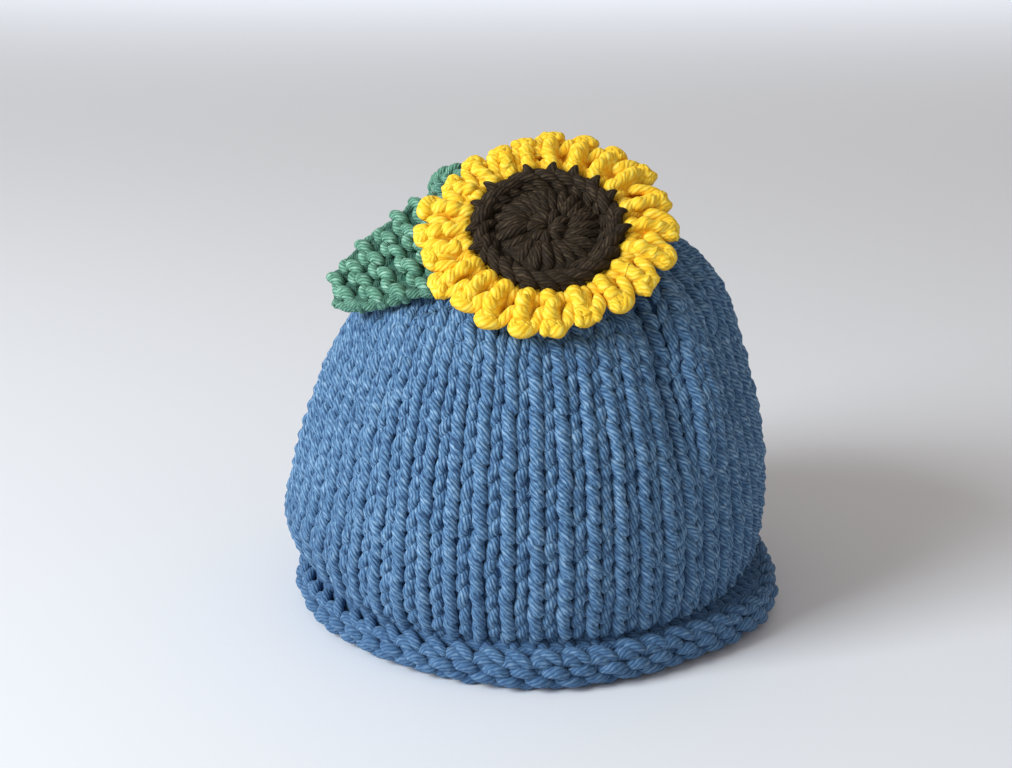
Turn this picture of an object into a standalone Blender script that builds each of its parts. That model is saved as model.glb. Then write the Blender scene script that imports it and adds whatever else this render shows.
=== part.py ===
"""A hand-knitted tea cosy, standing on its rolled hem, with a crocheted sunflower and two leaves.

The cover is one hollow solid: a domed wall whose crown is drawn in, a hem rolled outward, a slit for
a spout at -X and a slit for a handle at +X. The flower and its leaves are separate solids that lie on
the crown. Metres, +Z up, front at -Y, origin on the floor under the middle of the whole part.
"""
import math
from collections import namedtuple

import bmesh
import bpy
from mathutils import Vector

MM = 0.001
GAP = 0.35 * MM  # between two pieces that touch

# Cover: reach from its own upright axis, and height, where it faces left, right, front and back
BODY_AXIS = Vector((-1.5, 1.1, 0)) * MM
WALL = 4.4 * MM
COLUMNS = 64  # knitted stitches round
RIB = 0.4 * MM  # half the depth between a column of stitches and the channel beside it
Section = namedtuple("Section", "left right front back")  # each (reach, height) in millimetres
COVER_SECTIONS = (
    Section(left=(60.9, 12.5), right=(59.3, 12.5), front=(60.2, 12.5), back=(60.0, 12.5)),
    Section(left=(62.8, 21.0), right=(61.2, 21.0), front=(61.6, 21.0), back=(61.0, 21.0)),
    Section(left=(61.6, 30.5), right=(61.7, 30.5), front=(61.6, 30.5), back=(61.2, 30.5)),
    Section(left=(60.1, 40.0), right=(60.8, 40.5), front=(60.8, 40.5), back=(60.5, 40.0)),
    Section(left=(57.3, 49.5), right=(59.4, 51.0), front=(59.0, 50.5), back=(58.8, 50.0)),
    Section(left=(53.3, 58.5), right=(56.7, 61.5), front=(55.9, 60.5), back=(55.8, 59.5)),
    Section(left=(48.8, 66.5), right=(53.3, 71.5), front=(51.5, 70.5), back=(51.8, 69.5)),
    Section(left=(44.2, 74.2), right=(50.4, 80.0), front=(46.5, 79.5), back=(47.0, 78.5)),
    Section(left=(39.4, 82.0), right=(45.7, 87.2), front=(41.0, 86.5), back=(41.4, 86.2)),
    Section(left=(33.2, 89.6), right=(38.6, 92.8), front=(34.4, 92.6), back=(34.5, 92.8)),
    Section(left=(26.0, 96.6), right=(30.5, 97.8), front=(27.2, 98.2), back=(27.0, 98.4)),
    Section(left=(18.0, 102.6), right=(21.0, 102.8), front=(19.0, 103.0), back=(19.0, 103.4)),
    Section(left=(10.5, 106.4), right=(12.0, 106.6), front=(11.0, 106.6), back=(11.0, 106.8)),
    Section(left=(4.0, 108.2), right=(4.0, 108.2), front=(4.0, 108.2), back=(4.0, 108.2)),
)
CROWN_DIMPLE = 1.2 * MM  # the drawn-in middle lies this far below its rim
FINE_ROWS = 13  # rows of the wall with two points to a stitch column
CROWN_ROWS = 6  # rows above them with one point to a column
FINE_END = 9.0  # the section where the wall's rows end and the crown's begin
LINING_ROWS = 9  # rows of the inner face

# Folds: the pucker on the right shoulder, angles in degrees from +X towards +Y
Fold = namedtuple("Fold", "angle width depth")
SHOULDER_FOLDS = (
    Fold(angle=319.0, width=5.5, depth=2.6 * MM),
    Fold(angle=308.5, width=5.0, depth=-2.4 * MM),
    Fold(angle=333.0, width=6.0, depth=-1.3 * MM),
)
FOLD_FADE = (44.0 * MM, 64.0 * MM)  # heights where the pucker begins and is full
PLEATS = 16
PLEAT_DEPTH = 1.1 * MM
PLEAT_REACH = (36.0 * MM, 20.0 * MM)  # reaches where the crown's pleats begin and are full

# Hem: the same cloth, rolled outward
HEM_AXIS = Vector((1.0, 0.1, 0)) * MM
HEM_REACH = 58.0 * MM  # to the middle of the roll
HEM_BULGES = (  # where the roll lies out or in from its circle, angles as above
    Fold(angle=268.0, width=10.0, depth=0.8 * MM),
    Fold(angle=337.0, width=13.0, depth=1.7 * MM),
    Fold(angle=225.0, width=20.0, depth=-1.0 * MM),
    Fold(angle=303.0, width=13.0, depth=-1.0 * MM),
    Fold(angle=90.0, width=60.0, depth=0.8 * MM),
)
HEM_RADIUS = 5.1 * MM
HEM_STEPS = 5  # rows over the outside of the roll
HEM_OUTER_END = math.radians(-48)
HEM_INNER_ANGLES = (math.radians(212), math.radians(170), math.radians(138))
FLAT = (-2.6 * MM, 2.8 * MM)  # edges of the ring that lies on the floor, from the roll's middle
GROOVE_TUCK = 2.6 * MM
GROOVE_STEP = 0.9 * MM
GROOVE_DEPTH = 1.1 * MM
BRAID = 0.35 * MM  # half the depth of the bumps round the roll

# Slits: middle in Y, lowest and highest point, width
Slit = namedtuple("Slit", "side middle low high width")
SLITS = (
    Slit(side=-1, middle=4.0 * MM, low=24.0 * MM, high=64.0 * MM, width=20.0 * MM),
    Slit(side=1, middle=2.0 * MM, low=20.0 * MM, high=78.0 * MM, width=14.0 * MM),
)
SLIT_STEPS = 12

# Flower: a disc in a ruffled ring, tilted towards the front
FLOWER_TILT = math.radians(38)
FLOWER_PLACE = Vector((2.9, -26.45, 102.5)) * MM
FLOWER_ACROSS = Vector((1, 0, 0))
FLOWER_UPHILL = Vector((0, math.cos(FLOWER_TILT), math.sin(FLOWER_TILT)))
FLOWER_OUT = Vector((0, -math.sin(FLOWER_TILT), math.cos(FLOWER_TILT)))
DISC_PROFILE = (  # radius and height of its upper face, from the middle outward, in millimetres
    (4.0, 1.9), (8.0, 1.7), (11.0, 1.0), (13.0, 0.4), (14.8, 2.2), (16.2, 2.4), (17.4, 1.2),
)
DISC_MIDDLE = 1.6 * MM
DISC_UNDER = -2.5 * MM
DISC_POINTS = 24
DISC_POINT = (17.3 * MM, 18.4 * MM)  # reach of its edge between the points and at them
PETALS = 22
PETAL_POINTS = 6  # round the ring, for each petal
PETAL_INNER = 18.8 * MM
PETAL_OUTER = 31.6 * MM
PETAL_NOTCH = 1.8 * MM
PETAL_HALF = 1.7 * MM  # half the ring's thickness
PETAL_DROOP = 3.0 * MM
RUFFLE = (0.5 * MM, 1.6 * MM)  # half the ruffle's height at the inner and the outer edge
PETAL_FACE = ((0.07, 0.62), (0.4, 1.0), (0.76, 1.0), (0.95, 0.6))  # share of width, of thickness

# Leaves: ridged, pointed, arched from root to tip
Leaf = namedtuple("Leaf", "name root tip across arch half_width ridges")
LEAVES = (
    Leaf(
        name="leaf_left",
        root=Vector((-7.9, -17.4, 101.0)) * MM,
        tip=Vector((-50.0, -11.7, 82.8)) * MM,
        across=Vector((0, 0.788, 0.616)),
        arch=4.0 * MM,
        half_width=15.6 * MM,
        ridges=8,
    ),
    Leaf(
        name="leaf_back",
        root=Vector((-5.0, -3.4, 110.2)) * MM,
        tip=Vector((-16.4, 41.1, 89.5)) * MM,
        across=Vector((1, 0.2, 0)),
        arch=5.0 * MM,
        half_width=14.0 * MM,
        ridges=8,
    ),
)
LEAF_HALF = 2.4 * MM  # half a leaf's thickness
LEAF_RIDGE = 0.5 * MM
LEAF_OUTLINE = (  # share of length, share of half width
    (0.0, 0.42), (0.12, 0.66), (0.28, 0.98), (0.42, 1.03), (0.6, 0.95), (0.75, 0.82), (0.88, 0.6),
    (0.96, 0.42), (1.0, 0.26),
)
LEAF_FACE = ((-0.97, 0.45), (-0.6, 0.92), (0.0, 1.0), (0.6, 0.92), (0.97, 0.45))

BLUE = (0.095, 0.235, 0.46, 1)
YELLOW = (0.95, 0.55, 0.03, 1)
BROWN = (0.03, 0.018, 0.012, 1)
GREEN = (0.13, 0.37, 0.24, 1)


def smooth(value, start, end):
    """How far value is from start to end, eased, from 0 to 1."""
    share = min(max((value - start) / (end - start), 0.0), 1.0)
    return share * share * (3 - 2 * share)


def between(table, place):
    """A value read from a table of (place, value) rows, straight between them."""
    for (low, first), (high, last) in zip(table, table[1:]):
        if place <= high:
            return first + (last - first) * (place - low) / (high - low)
    return table[-1][1]


def curve(values, place):
    """A smooth curve through evenly spaced values, read at place, where the first value is at 0."""
    last = len(values) - 1
    step = min(int(place), last - 1)
    share = place - step
    before, start, end, after = (values[min(max(step + i, 0), last)] for i in (-1, 0, 1, 2))
    return 0.5 * (
        2 * start
        + (end - before) * share
        + (2 * before - 5 * start + 4 * end - after) * share**2
        + (3 * start - 3 * end + after - before) * share**3
    )


def under_flower(reach):
    """Height of the flower's underside above its own plane, at a reach from its middle."""
    share = (reach - PETAL_INNER) / (PETAL_OUTER - PETAL_INNER)
    ring = RUFFLE[0] + (RUFFLE[1] - RUFFLE[0]) * share + PETAL_HALF + PETAL_DROOP * share
    return min(DISC_UNDER, -ring) if share > 0 else DISC_UNDER


def keep_under_flower(point, clearance):
    """The point, lowered where it would come within clearance of the flower's underside."""
    height = point.z
    for _ in range(3):
        away = Vector((point.x, point.y, height)) - FLOWER_PLACE
        reach = math.hypot(away.dot(FLOWER_ACROSS), away.dot(FLOWER_UPHILL))
        beyond = max(reach - PETAL_OUTER - MM, 0.0)
        limit = under_flower(min(reach, PETAL_OUTER)) - clearance + 1.2 * beyond
        height -= max(away.dot(FLOWER_OUT) - limit, 0.0) / FLOWER_OUT.z
    return Vector((point.x, point.y, height))


class LeafShape:
    """Where a leaf lies: its own axes and the height of its middle surface."""

    def __init__(self, leaf):
        self.leaf = leaf
        chord = leaf.tip - leaf.root
        self.length = chord.length
        self.along = chord.normalized()
        self.across = (leaf.across - self.along * leaf.across.dot(self.along)).normalized()
        self.out = self.along.cross(self.across)
        if self.out.z < 0:
            self.out.negate()

    def half_width(self, share):
        """Half the leaf's width at a share of its length."""
        return between(LEAF_OUTLINE, share) * self.leaf.half_width

    def middle(self, share, offset):
        """A point of the middle surface, at a share of the length and an offset across."""
        arch = self.leaf.arch * 4 * share * (1 - share)
        flat = self.leaf.root + self.along * (self.length * share) + self.across * offset
        return keep_under_flower(flat + self.out * arch, LEAF_HALF + LEAF_RIDGE + 2 * GAP)

    def keep_under(self, point):
        """The point, lowered where it would come too near the leaf's underside."""
        height = point.z
        for _ in range(3):
            away = Vector((point.x, point.y, height)) - self.leaf.root
            share = min(max(away.dot(self.along) / self.length, 0.0), 1.0)
            offset = away.dot(self.across)
            past_end = abs(away.dot(self.along) - share * self.length)
            beyond = max(abs(offset) - self.half_width(share) - MM, 0.0) + max(past_end - MM, 0.0)
            middle = self.middle(share, offset)
            limit = -(LEAF_HALF + LEAF_RIDGE + GAP) + 1.2 * beyond
            above = (Vector((point.x, point.y, height)) - middle).dot(self.out)
            height -= max(above - limit, 0.0) / self.out.z
        return Vector((point.x, point.y, height))


LEAF_SHAPES = [LeafShape(leaf) for leaf in LEAVES]


def facing(angle):
    """How much a direction faces left, right, front and back."""
    right, back = math.cos(angle), math.sin(angle)
    return max(-right, 0) ** 2, max(right, 0) ** 2, max(-back, 0) ** 2, max(back, 0) ** 2


def cover_plain(angle, place):
    """Reach and height of the cover's outer face before its folds, at a place up the sections."""
    reach = height = 0.0
    for share, column in zip(facing(angle), zip(*COVER_SECTIONS)):
        if share:
            reach += share * curve([pair[0] for pair in column], place) * MM
            height += share * curve([pair[1] for pair in column], place) * MM
    return reach, height


def cover_point(angle, place, lift):
    """A point of the cover, lifted outward from its face, with its folds, under flower and leaves."""
    reach, height = cover_plain(angle, place)
    lower = cover_plain(angle, max(place - 0.05, 0))
    upper = cover_plain(angle, min(place + 0.05, len(COVER_SECTIONS) - 1))
    slope = Vector((upper[0] - lower[0], upper[1] - lower[1])).normalized()
    out, up = slope.y, -slope.x
    fold = bump(SHOULDER_FOLDS, angle)
    fold *= smooth(height, *FOLD_FADE) * (1 - smooth(reach, 24 * MM, 10 * MM))
    pleat = PLEAT_DEPTH * math.cos(PLEATS * angle) * smooth(reach, *PLEAT_REACH)
    pleat *= smooth(reach, 2 * MM, 9 * MM)
    reach, height = reach + fold * out, height + fold * up + pleat
    across = math.cos(angle), math.sin(angle)
    face = BODY_AXIS + Vector((reach * across[0], reach * across[1], height))
    face = keep_under_flower(face, GAP)
    for shape in LEAF_SHAPES:
        face = shape.keep_under(face)
    return face + Vector((out * across[0], out * across[1], up)) * lift


def ring(count, place_of):
    """The points of one closed ring, from a function of the angle and the point's number."""
    return [place_of(2 * math.pi * i / count, i) for i in range(count)]


def cover_ring(count, place, depth):
    """A ring on the cover's face, or depth inside it, with the columns raised where it is fine."""
    rib = RIB if count > COLUMNS else 0.0
    return ring(count, lambda angle, i: cover_point(angle, place, rib * (-1) ** i - depth))


def bump(folds, angle):
    """How far a set of folds lifts the cloth at an angle."""
    degrees = math.degrees(angle) % 360
    away = [(fold, (degrees - fold.angle + 180) % 360 - 180) for fold in folds]
    return sum(fold.depth * math.exp(-((turn / fold.width) ** 2)) for fold, turn in away)


def hem_point(angle, outward, height):
    """A point of the roll, from how far it lies outward from the roll's middle."""
    reach = HEM_REACH + bump(HEM_BULGES, angle) + outward
    return HEM_AXIS + Vector((reach * math.cos(angle), reach * math.sin(angle), height))


def groove_place(angle):
    """How far outward from the roll's middle the wall goes down behind the roll."""
    shift = BODY_AXIS - HEM_AXIS
    across = shift.x * math.cos(angle) + shift.y * math.sin(angle)
    return cover_plain(angle, 0)[0] - GROOVE_TUCK + across - HEM_REACH - bump(HEM_BULGES, angle)


def hem_rings(count):
    """The rings from the groove, over the outside of the roll, to the edge of its flat bottom."""

    def start(angle):
        return math.acos(min((groove_place(angle) + GROOVE_STEP) / HEM_RADIUS, 0.75))

    def groove(angle, i):
        height = HEM_RADIUS * (1 + math.sin(start(angle))) - GROOVE_DEPTH
        return hem_point(angle, groove_place(angle), height)

    rings = [ring(count, groove)]
    for step in range(HEM_STEPS):
        share = step / (HEM_STEPS - 1)

        def roll(angle, i, share=share, step=step):
            turn = start(angle) + (HEM_OUTER_END - start(angle)) * share
            radius = HEM_RADIUS + BRAID * (-1) ** (i + step) * (0 < share < 1)
            return hem_point(angle, radius * math.cos(turn), HEM_RADIUS + radius * math.sin(turn))

        rings.append(ring(count, roll))
    return rings


def join_rings(bm, lower, upper):
    """Faces between two closed rings, of equal counts or with half as many points in the upper."""
    count = len(upper)
    for i in range(count):
        j = (i + 1) % count
        if len(lower) == count:
            bm.faces.new((lower[i], lower[j], upper[j], upper[i]))
            continue
        first, middle, last = lower[2 * i], lower[2 * i + 1], lower[(2 * i + 2) % len(lower)]
        bm.faces.new((first, middle, upper[i]))
        bm.faces.new((middle, upper[j], upper[i]))
        bm.faces.new((middle, last, upper[j]))


def skin(bm, rings):
    """Joins each ring to the next, whichever of the two is finer, and returns the vertices."""
    made = [[bm.verts.new(point) for point in points] for points in rings]
    for lower, upper in zip(made, made[1:]):
        if len(lower) >= len(upper):
            join_rings(bm, lower, upper)
        else:
            join_rings(bm, upper, lower)
    return made


def close(bm, points, middle):
    """Closes a ring with a fan of faces round a middle point."""
    centre = bm.verts.new(middle)
    for first, second in zip(points, points[1:] + points[:1]):
        bm.faces.new((first, second, centre))


def cloth(name, color, roughness):
    """A plain cloth material."""
    material = bpy.data.materials.new(name)
    material.use_nodes = True
    shader = material.node_tree.nodes["Principled BSDF"]
    shader.inputs["Base Color"].default_value = color
    shader.inputs["Roughness"].default_value = roughness
    shader.inputs["Metallic"].default_value = 0.0
    return material


def finish(bm, name, material):
    """Turns the faces outward and makes the object, shaded smooth."""
    bmesh.ops.recalc_face_normals(bm, faces=bm.faces)
    mesh = bpy.data.meshes.new(name)
    bm.to_mesh(mesh)
    bm.free()
    mesh.shade_smooth()
    mesh.materials.append(material)
    made = bpy.data.objects.new(name, mesh)
    bpy.context.collection.objects.link(made)
    return made


def add_slit(body, slit):
    """Cuts a lens-shaped slit through one side of the cover."""
    outline = []
    for side in (1, -1):
        for i in range(SLIT_STEPS):
            share = i / SLIT_STEPS if side > 0 else 1 - i / SLIT_STEPS
            half = slit.width / 2 * math.sin(math.pi * share) ** 0.7
            outline.append((slit.middle + side * half, slit.low + (slit.high - slit.low) * share))
    bm = bmesh.new()
    near = [bm.verts.new((slit.side * 35 * MM, y, z)) for y, z in outline]
    far = [bm.verts.new((slit.side * 75 * MM, y, z)) for y, z in outline]
    join_rings(bm, near, far)
    bm.faces.new(near)
    bm.faces.new(far)
    cutter = finish(bm, "slit_cutter_left" if slit.side < 0 else "slit_cutter_right",
                    body.data.materials[0])
    cutter.hide_render = True
    cutter.display_type = "WIRE"
    cut = body.modifiers.new("slit", "BOOLEAN")
    cut.operation = "DIFFERENCE"
    cut.solver = "EXACT"
    cut.object = cutter


def build_body():
    """The cover with its rolled hem, hollow, as one solid."""
    fine, top = 2 * COLUMNS, len(COVER_SECTIONS) - 1
    outside = hem_rings(fine)[::-1]
    outside += [cover_ring(fine, FINE_END * i / (FINE_ROWS - 1), 0) for i in range(FINE_ROWS)]
    outside += [
        cover_ring(COLUMNS, FINE_END + (top - FINE_END) * i / CROWN_ROWS, 0)
        for i in range(1, CROWN_ROWS + 1)
    ]
    inside = [cover_ring(COLUMNS, (top - 0.6) * i / (LINING_ROWS - 1), WALL)
              for i in range(LINING_ROWS)]
    flat = [ring(fine, lambda angle, i, edge=edge: hem_point(angle, edge, 0)) for edge in FLAT]
    inner_hem = [
        ring(COLUMNS, lambda angle, i, turn=turn: hem_point(
            angle, HEM_RADIUS * math.cos(turn), HEM_RADIUS * (1 + math.sin(turn))))
        for turn in HEM_INNER_ANGLES
    ]
    bm = bmesh.new()
    made = skin(bm, inside[::-1] + inner_hem[::-1] + flat + outside)
    lining = sum((vert.co for vert in made[0]), Vector()) / len(made[0])
    close(bm, made[0], lining)
    crown = sum((vert.co for vert in made[-1]), Vector()) / len(made[-1])
    close(bm, made[-1], crown - Vector((0, 0, CROWN_DIMPLE)))
    body = finish(bm, "cosy_body", cloth("blue_yarn", BLUE, 0.9))
    for slit in SLITS:
        add_slit(body, slit)
    return body


def flower_point(angle, reach, height):
    """A point in the flower's own frame."""
    across = FLOWER_ACROSS * math.cos(angle) + FLOWER_UPHILL * math.sin(angle)
    return FLOWER_PLACE + across * reach + FLOWER_OUT * height


def build_petals():
    """The ruffled ring."""
    count = PETALS * PETAL_POINTS

    def point(angle, share, thickness):
        wave = math.cos(PETALS * angle)
        outer = PETAL_OUTER - PETAL_NOTCH * (1 - wave) / 2
        reach = PETAL_INNER + (outer - PETAL_INNER) * share
        lift = (RUFFLE[0] + (RUFFLE[1] - RUFFLE[0]) * share) * wave
        height = lift - PETAL_DROOP * share + PETAL_HALF * thickness
        return flower_point(angle, reach, height)

    face = [(0.0, 0.0), *PETAL_FACE, (1.0, 0.0)] + [(s, -t) for s, t in reversed(PETAL_FACE)]
    rings = [ring(count, lambda angle, i, s=s, t=t: point(angle, s, t)) for s, t in face]
    bm = bmesh.new()
    made = skin(bm, rings)
    join_rings(bm, made[-1], made[0])
    return finish(bm, "flower_petals", cloth("yellow_yarn", YELLOW, 0.9))


def build_disc():
    """The brown middle, with a raised outer round and an edge of small points."""
    count = 2 * DISC_POINTS
    upper = [ring(count, lambda angle, i, r=r, h=h: flower_point(angle, r * MM, h * MM))
             for r, h in DISC_PROFILE]
    edge = ring(count, lambda angle, i: flower_point(angle, DISC_POINT[i % 2], -0.2 * MM))
    under = [ring(count, lambda angle, i, r=r: flower_point(angle, r, DISC_UNDER))
             for r in (DISC_POINT[0] - MM, DISC_POINT[0] / 2)]
    bm = bmesh.new()
    made = skin(bm, upper + [edge] + under)
    close(bm, made[0], flower_point(0, 0, DISC_MIDDLE))
    close(bm, made[-1], flower_point(0, 0, DISC_UNDER))
    return finish(bm, "flower_centre", cloth("brown_yarn", BROWN, 0.95))


def build_leaf(shape):
    """A pointed leaf with ridges across it, arched from root to tip."""
    leaf, stations = shape.leaf, 2 * shape.leaf.ridges + 1
    sections = []
    for i in range(stations):
        share = i / (stations - 1)
        ridge = LEAF_RIDGE * (-1) ** (i + 1)
        half = shape.half_width(share)
        upper = [(t, LEAF_HALF * h + ridge) for t, h in LEAF_FACE]
        lower = [(t, -(LEAF_HALF * h + ridge)) for t, h in reversed(LEAF_FACE)]
        section = upper + [(1.04, 0.0)] + lower + [(-1.04, 0.0)]
        sections.append([shape.middle(share, half * t) + shape.out * h for t, h in section])
    bm = bmesh.new()
    made = skin(bm, sections)
    for end, side in ((made[0], -1), (made[-1], 1)):
        middle = sum((vert.co for vert in end), Vector()) / len(end)
        close(bm, end, middle + shape.along * side * 0.8 * MM)
    return finish(bm, leaf.name, cloth("green_yarn", GREEN, 0.9))


def main():
    """Clears the scene and builds every piece."""
    for old in list(bpy.data.objects):
        bpy.data.objects.remove(old, do_unlink=True)
    build_body()
    build_petals()
    build_disc()
    for shape in LEAF_SHAPES:
        build_leaf(shape)


main()
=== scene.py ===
"""The looks of a hand-knitted tea cosy with a crocheted flower and knitted leaves on its crown.

Every stitch is a loop of plied yarn, swept as a tube along the path that the yarn takes in the real
fabric. The paths lie on the same faces as the part's solids. What is built is in metres, with +Z up
and the front at -Y. The classes' own lengths are in millimetres, or counted in rows and columns of
stitches, where no comment says otherwise.
"""

import logging
import math
from dataclasses import dataclass
from enum import Enum
from typing import NamedTuple, Sequence, Union

import bpy
import numpy as np
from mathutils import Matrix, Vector


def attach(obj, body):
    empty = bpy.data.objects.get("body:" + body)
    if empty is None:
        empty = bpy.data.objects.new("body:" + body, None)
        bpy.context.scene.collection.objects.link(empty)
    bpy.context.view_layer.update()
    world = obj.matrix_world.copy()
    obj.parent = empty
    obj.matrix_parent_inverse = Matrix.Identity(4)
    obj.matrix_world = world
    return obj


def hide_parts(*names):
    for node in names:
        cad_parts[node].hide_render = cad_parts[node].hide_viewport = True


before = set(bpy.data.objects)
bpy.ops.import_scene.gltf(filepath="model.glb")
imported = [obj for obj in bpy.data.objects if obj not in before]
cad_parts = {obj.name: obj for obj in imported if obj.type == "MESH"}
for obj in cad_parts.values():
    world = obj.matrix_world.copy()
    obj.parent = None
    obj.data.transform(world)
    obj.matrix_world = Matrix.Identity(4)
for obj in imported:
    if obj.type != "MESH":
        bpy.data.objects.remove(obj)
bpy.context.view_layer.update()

MM = 0.001
TURN = 2 * math.pi
BODY = "root"
YARN_MAP = "Yarn"  # coordinates along the yarn and round it
BAKE_MAP = "OFBake"  # coordinates for baking, where no two faces overlap
SHADE = "shade"  # painted shade at each point of a piece, from 0 (all the shade colour) to 1 (none)
OPEN_FROM = 0.5 * MM  # half of a slit's width, from which it counts as open
BAND_STRETCH = 0.75  # of a band's length, in the coordinates of its yarn
BAND_LEAD = 13.0 * MM  # how far across a band its yarn's lines come round once
KEEP_ROUNDS = 3  # how often a point is lowered until it lies clear below a piece
KEEP_MARGIN = 1 * MM  # how far past a piece's edge the cloth starts to rise again
KEEP_SLOPE = 1.2  # how steeply it rises there
log = logging.getLogger("tea_cosy")


class Face(Enum):
    """A face of a flat piece: the one seen from above, or the one below."""

    UPPER = 1
    LOWER = -1


def smooth(value: np.ndarray, start: float, end: float) -> np.ndarray:
    """How far value is from start to end, eased, from 0 to 1."""
    share = np.clip((value - start) / (end - start), 0.0, 1.0)
    return share * share * (3 - 2 * share)


def unit(vectors: np.ndarray) -> np.ndarray:
    """The vectors, each at length 1."""
    return vectors / np.maximum(np.linalg.norm(vectors, axis=-1, keepdims=True), 1e-12)


def turn_away(angle: np.ndarray, middle: float) -> np.ndarray:
    """The signed angle from middle to angle, from minus half a turn to half a turn."""
    return (angle - middle + math.pi) % TURN - math.pi


def spread(places: np.ndarray, count: int, noise: np.random.Generator, size: float) -> np.ndarray:
    """Slow random changes along a path.

    Args:
        places: Where along the path each value is wanted, from 0 to count.
        count: How many random values the path has.
        noise: The random numbers.
        size: The usual size of a value.

    Returns:
        A smoothly changing value for each place.
    """
    values = noise.normal(0.0, size, count + 2)
    index = np.clip(np.floor(places).astype(int), 0, count)
    share = smooth(places - np.floor(places), 0.0, 1.0)
    return values[index] * (1 - share) + values[np.minimum(index + 1, count + 1)] * share


class Section(NamedTuple):
    """Reach and height of the cover's face, in millimetres, where it faces each way."""

    left: tuple[float, float]
    right: tuple[float, float]
    front: tuple[float, float]
    back: tuple[float, float]


class Fold(NamedTuple):
    """A soft ridge or trough: its angle and width in degrees, and its height in millimetres."""

    angle: float
    width: float
    depth: float


def lift_of(folds: Sequence[Fold], angle: np.ndarray) -> np.ndarray:
    """How far a set of folds lifts the cloth at each angle, in metres.

    Args:
        folds: The folds.
        angle: Each angle, in radians.

    Returns:
        The lift at each angle.
    """
    degrees = np.degrees(angle)
    lift = np.zeros_like(degrees)
    for fold in folds:
        away = (degrees - fold.angle + 180) % 360 - 180
        lift += fold.depth * MM * np.exp(-((away / fold.width) ** 2))
    return lift


def outward_at(angle: np.ndarray) -> np.ndarray:
    """The level outward direction at each angle."""
    return np.stack((np.cos(angle), np.sin(angle), np.zeros_like(angle)), -1)


def spline(before: np.ndarray, start: np.ndarray, end: np.ndarray, after: np.ndarray,
           share: np.ndarray) -> np.ndarray:
    """A smooth curve through evenly spaced values.

    Args:
        before: The value before the stretch.
        start: The value where the stretch starts.
        end: The value where it ends.
        after: The value after it.
        share: How far along the stretch the curve is read, from 0 to 1.

    Returns:
        The curve's value.
    """
    return 0.5 * (2 * start + (end - before) * share
                  + (2 * before - 5 * start + 4 * end - after) * share**2
                  + (3 * start - 3 * end + after - before) * share**3)


def link(name: str, data: bpy.types.ID) -> bpy.types.Object:
    """Adds an object with this data to the scene.

    Args:
        name: The object's name.
        data: Its mesh, camera or light.

    Returns:
        The object.
    """
    made = bpy.data.objects.new(name, data)
    bpy.context.collection.objects.link(made)
    return made


def mesh_of(name: str, points: Sequence, faces: Sequence[tuple]) -> bpy.types.Mesh:
    """A smooth mesh of these points and faces.

    Args:
        name: The mesh's name.
        points: Its points, each with three coordinates.
        faces: The numbers of each face's points.

    Returns:
        The mesh.
    """
    mesh = bpy.data.meshes.new(name)
    mesh.from_pydata([tuple(point) for point in points], [], faces)
    mesh.shade_smooth()
    return mesh


def finish_mesh(mesh: bpy.types.Mesh, yarn: np.ndarray, bake: np.ndarray,
                shades: np.ndarray) -> bpy.types.Object:
    """Gives a mesh what its yarn's material reads, and makes it an object.

    Args:
        mesh: The mesh.
        yarn: Each corner's place along the yarn and round it.
        bake: Each corner's place on the sheet that is baked.
        shades: The painted shade at each point, from 0 (all the shade colour) to 1 (none).

    Returns:
        The object, with the mesh's name.
    """
    for name, spots in ((YARN_MAP, yarn), (BAKE_MAP, bake)):
        layer = mesh.uv_layers.new(name=name)
        layer.data.foreach_set("uv", spots.astype(np.float32).ravel())
    shade = mesh.attributes.new(SHADE, "FLOAT", "POINT")
    shade.data.foreach_set("value", shades.astype(np.float32).ravel())
    mesh.shade_smooth()
    return link(mesh.name, mesh)


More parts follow.
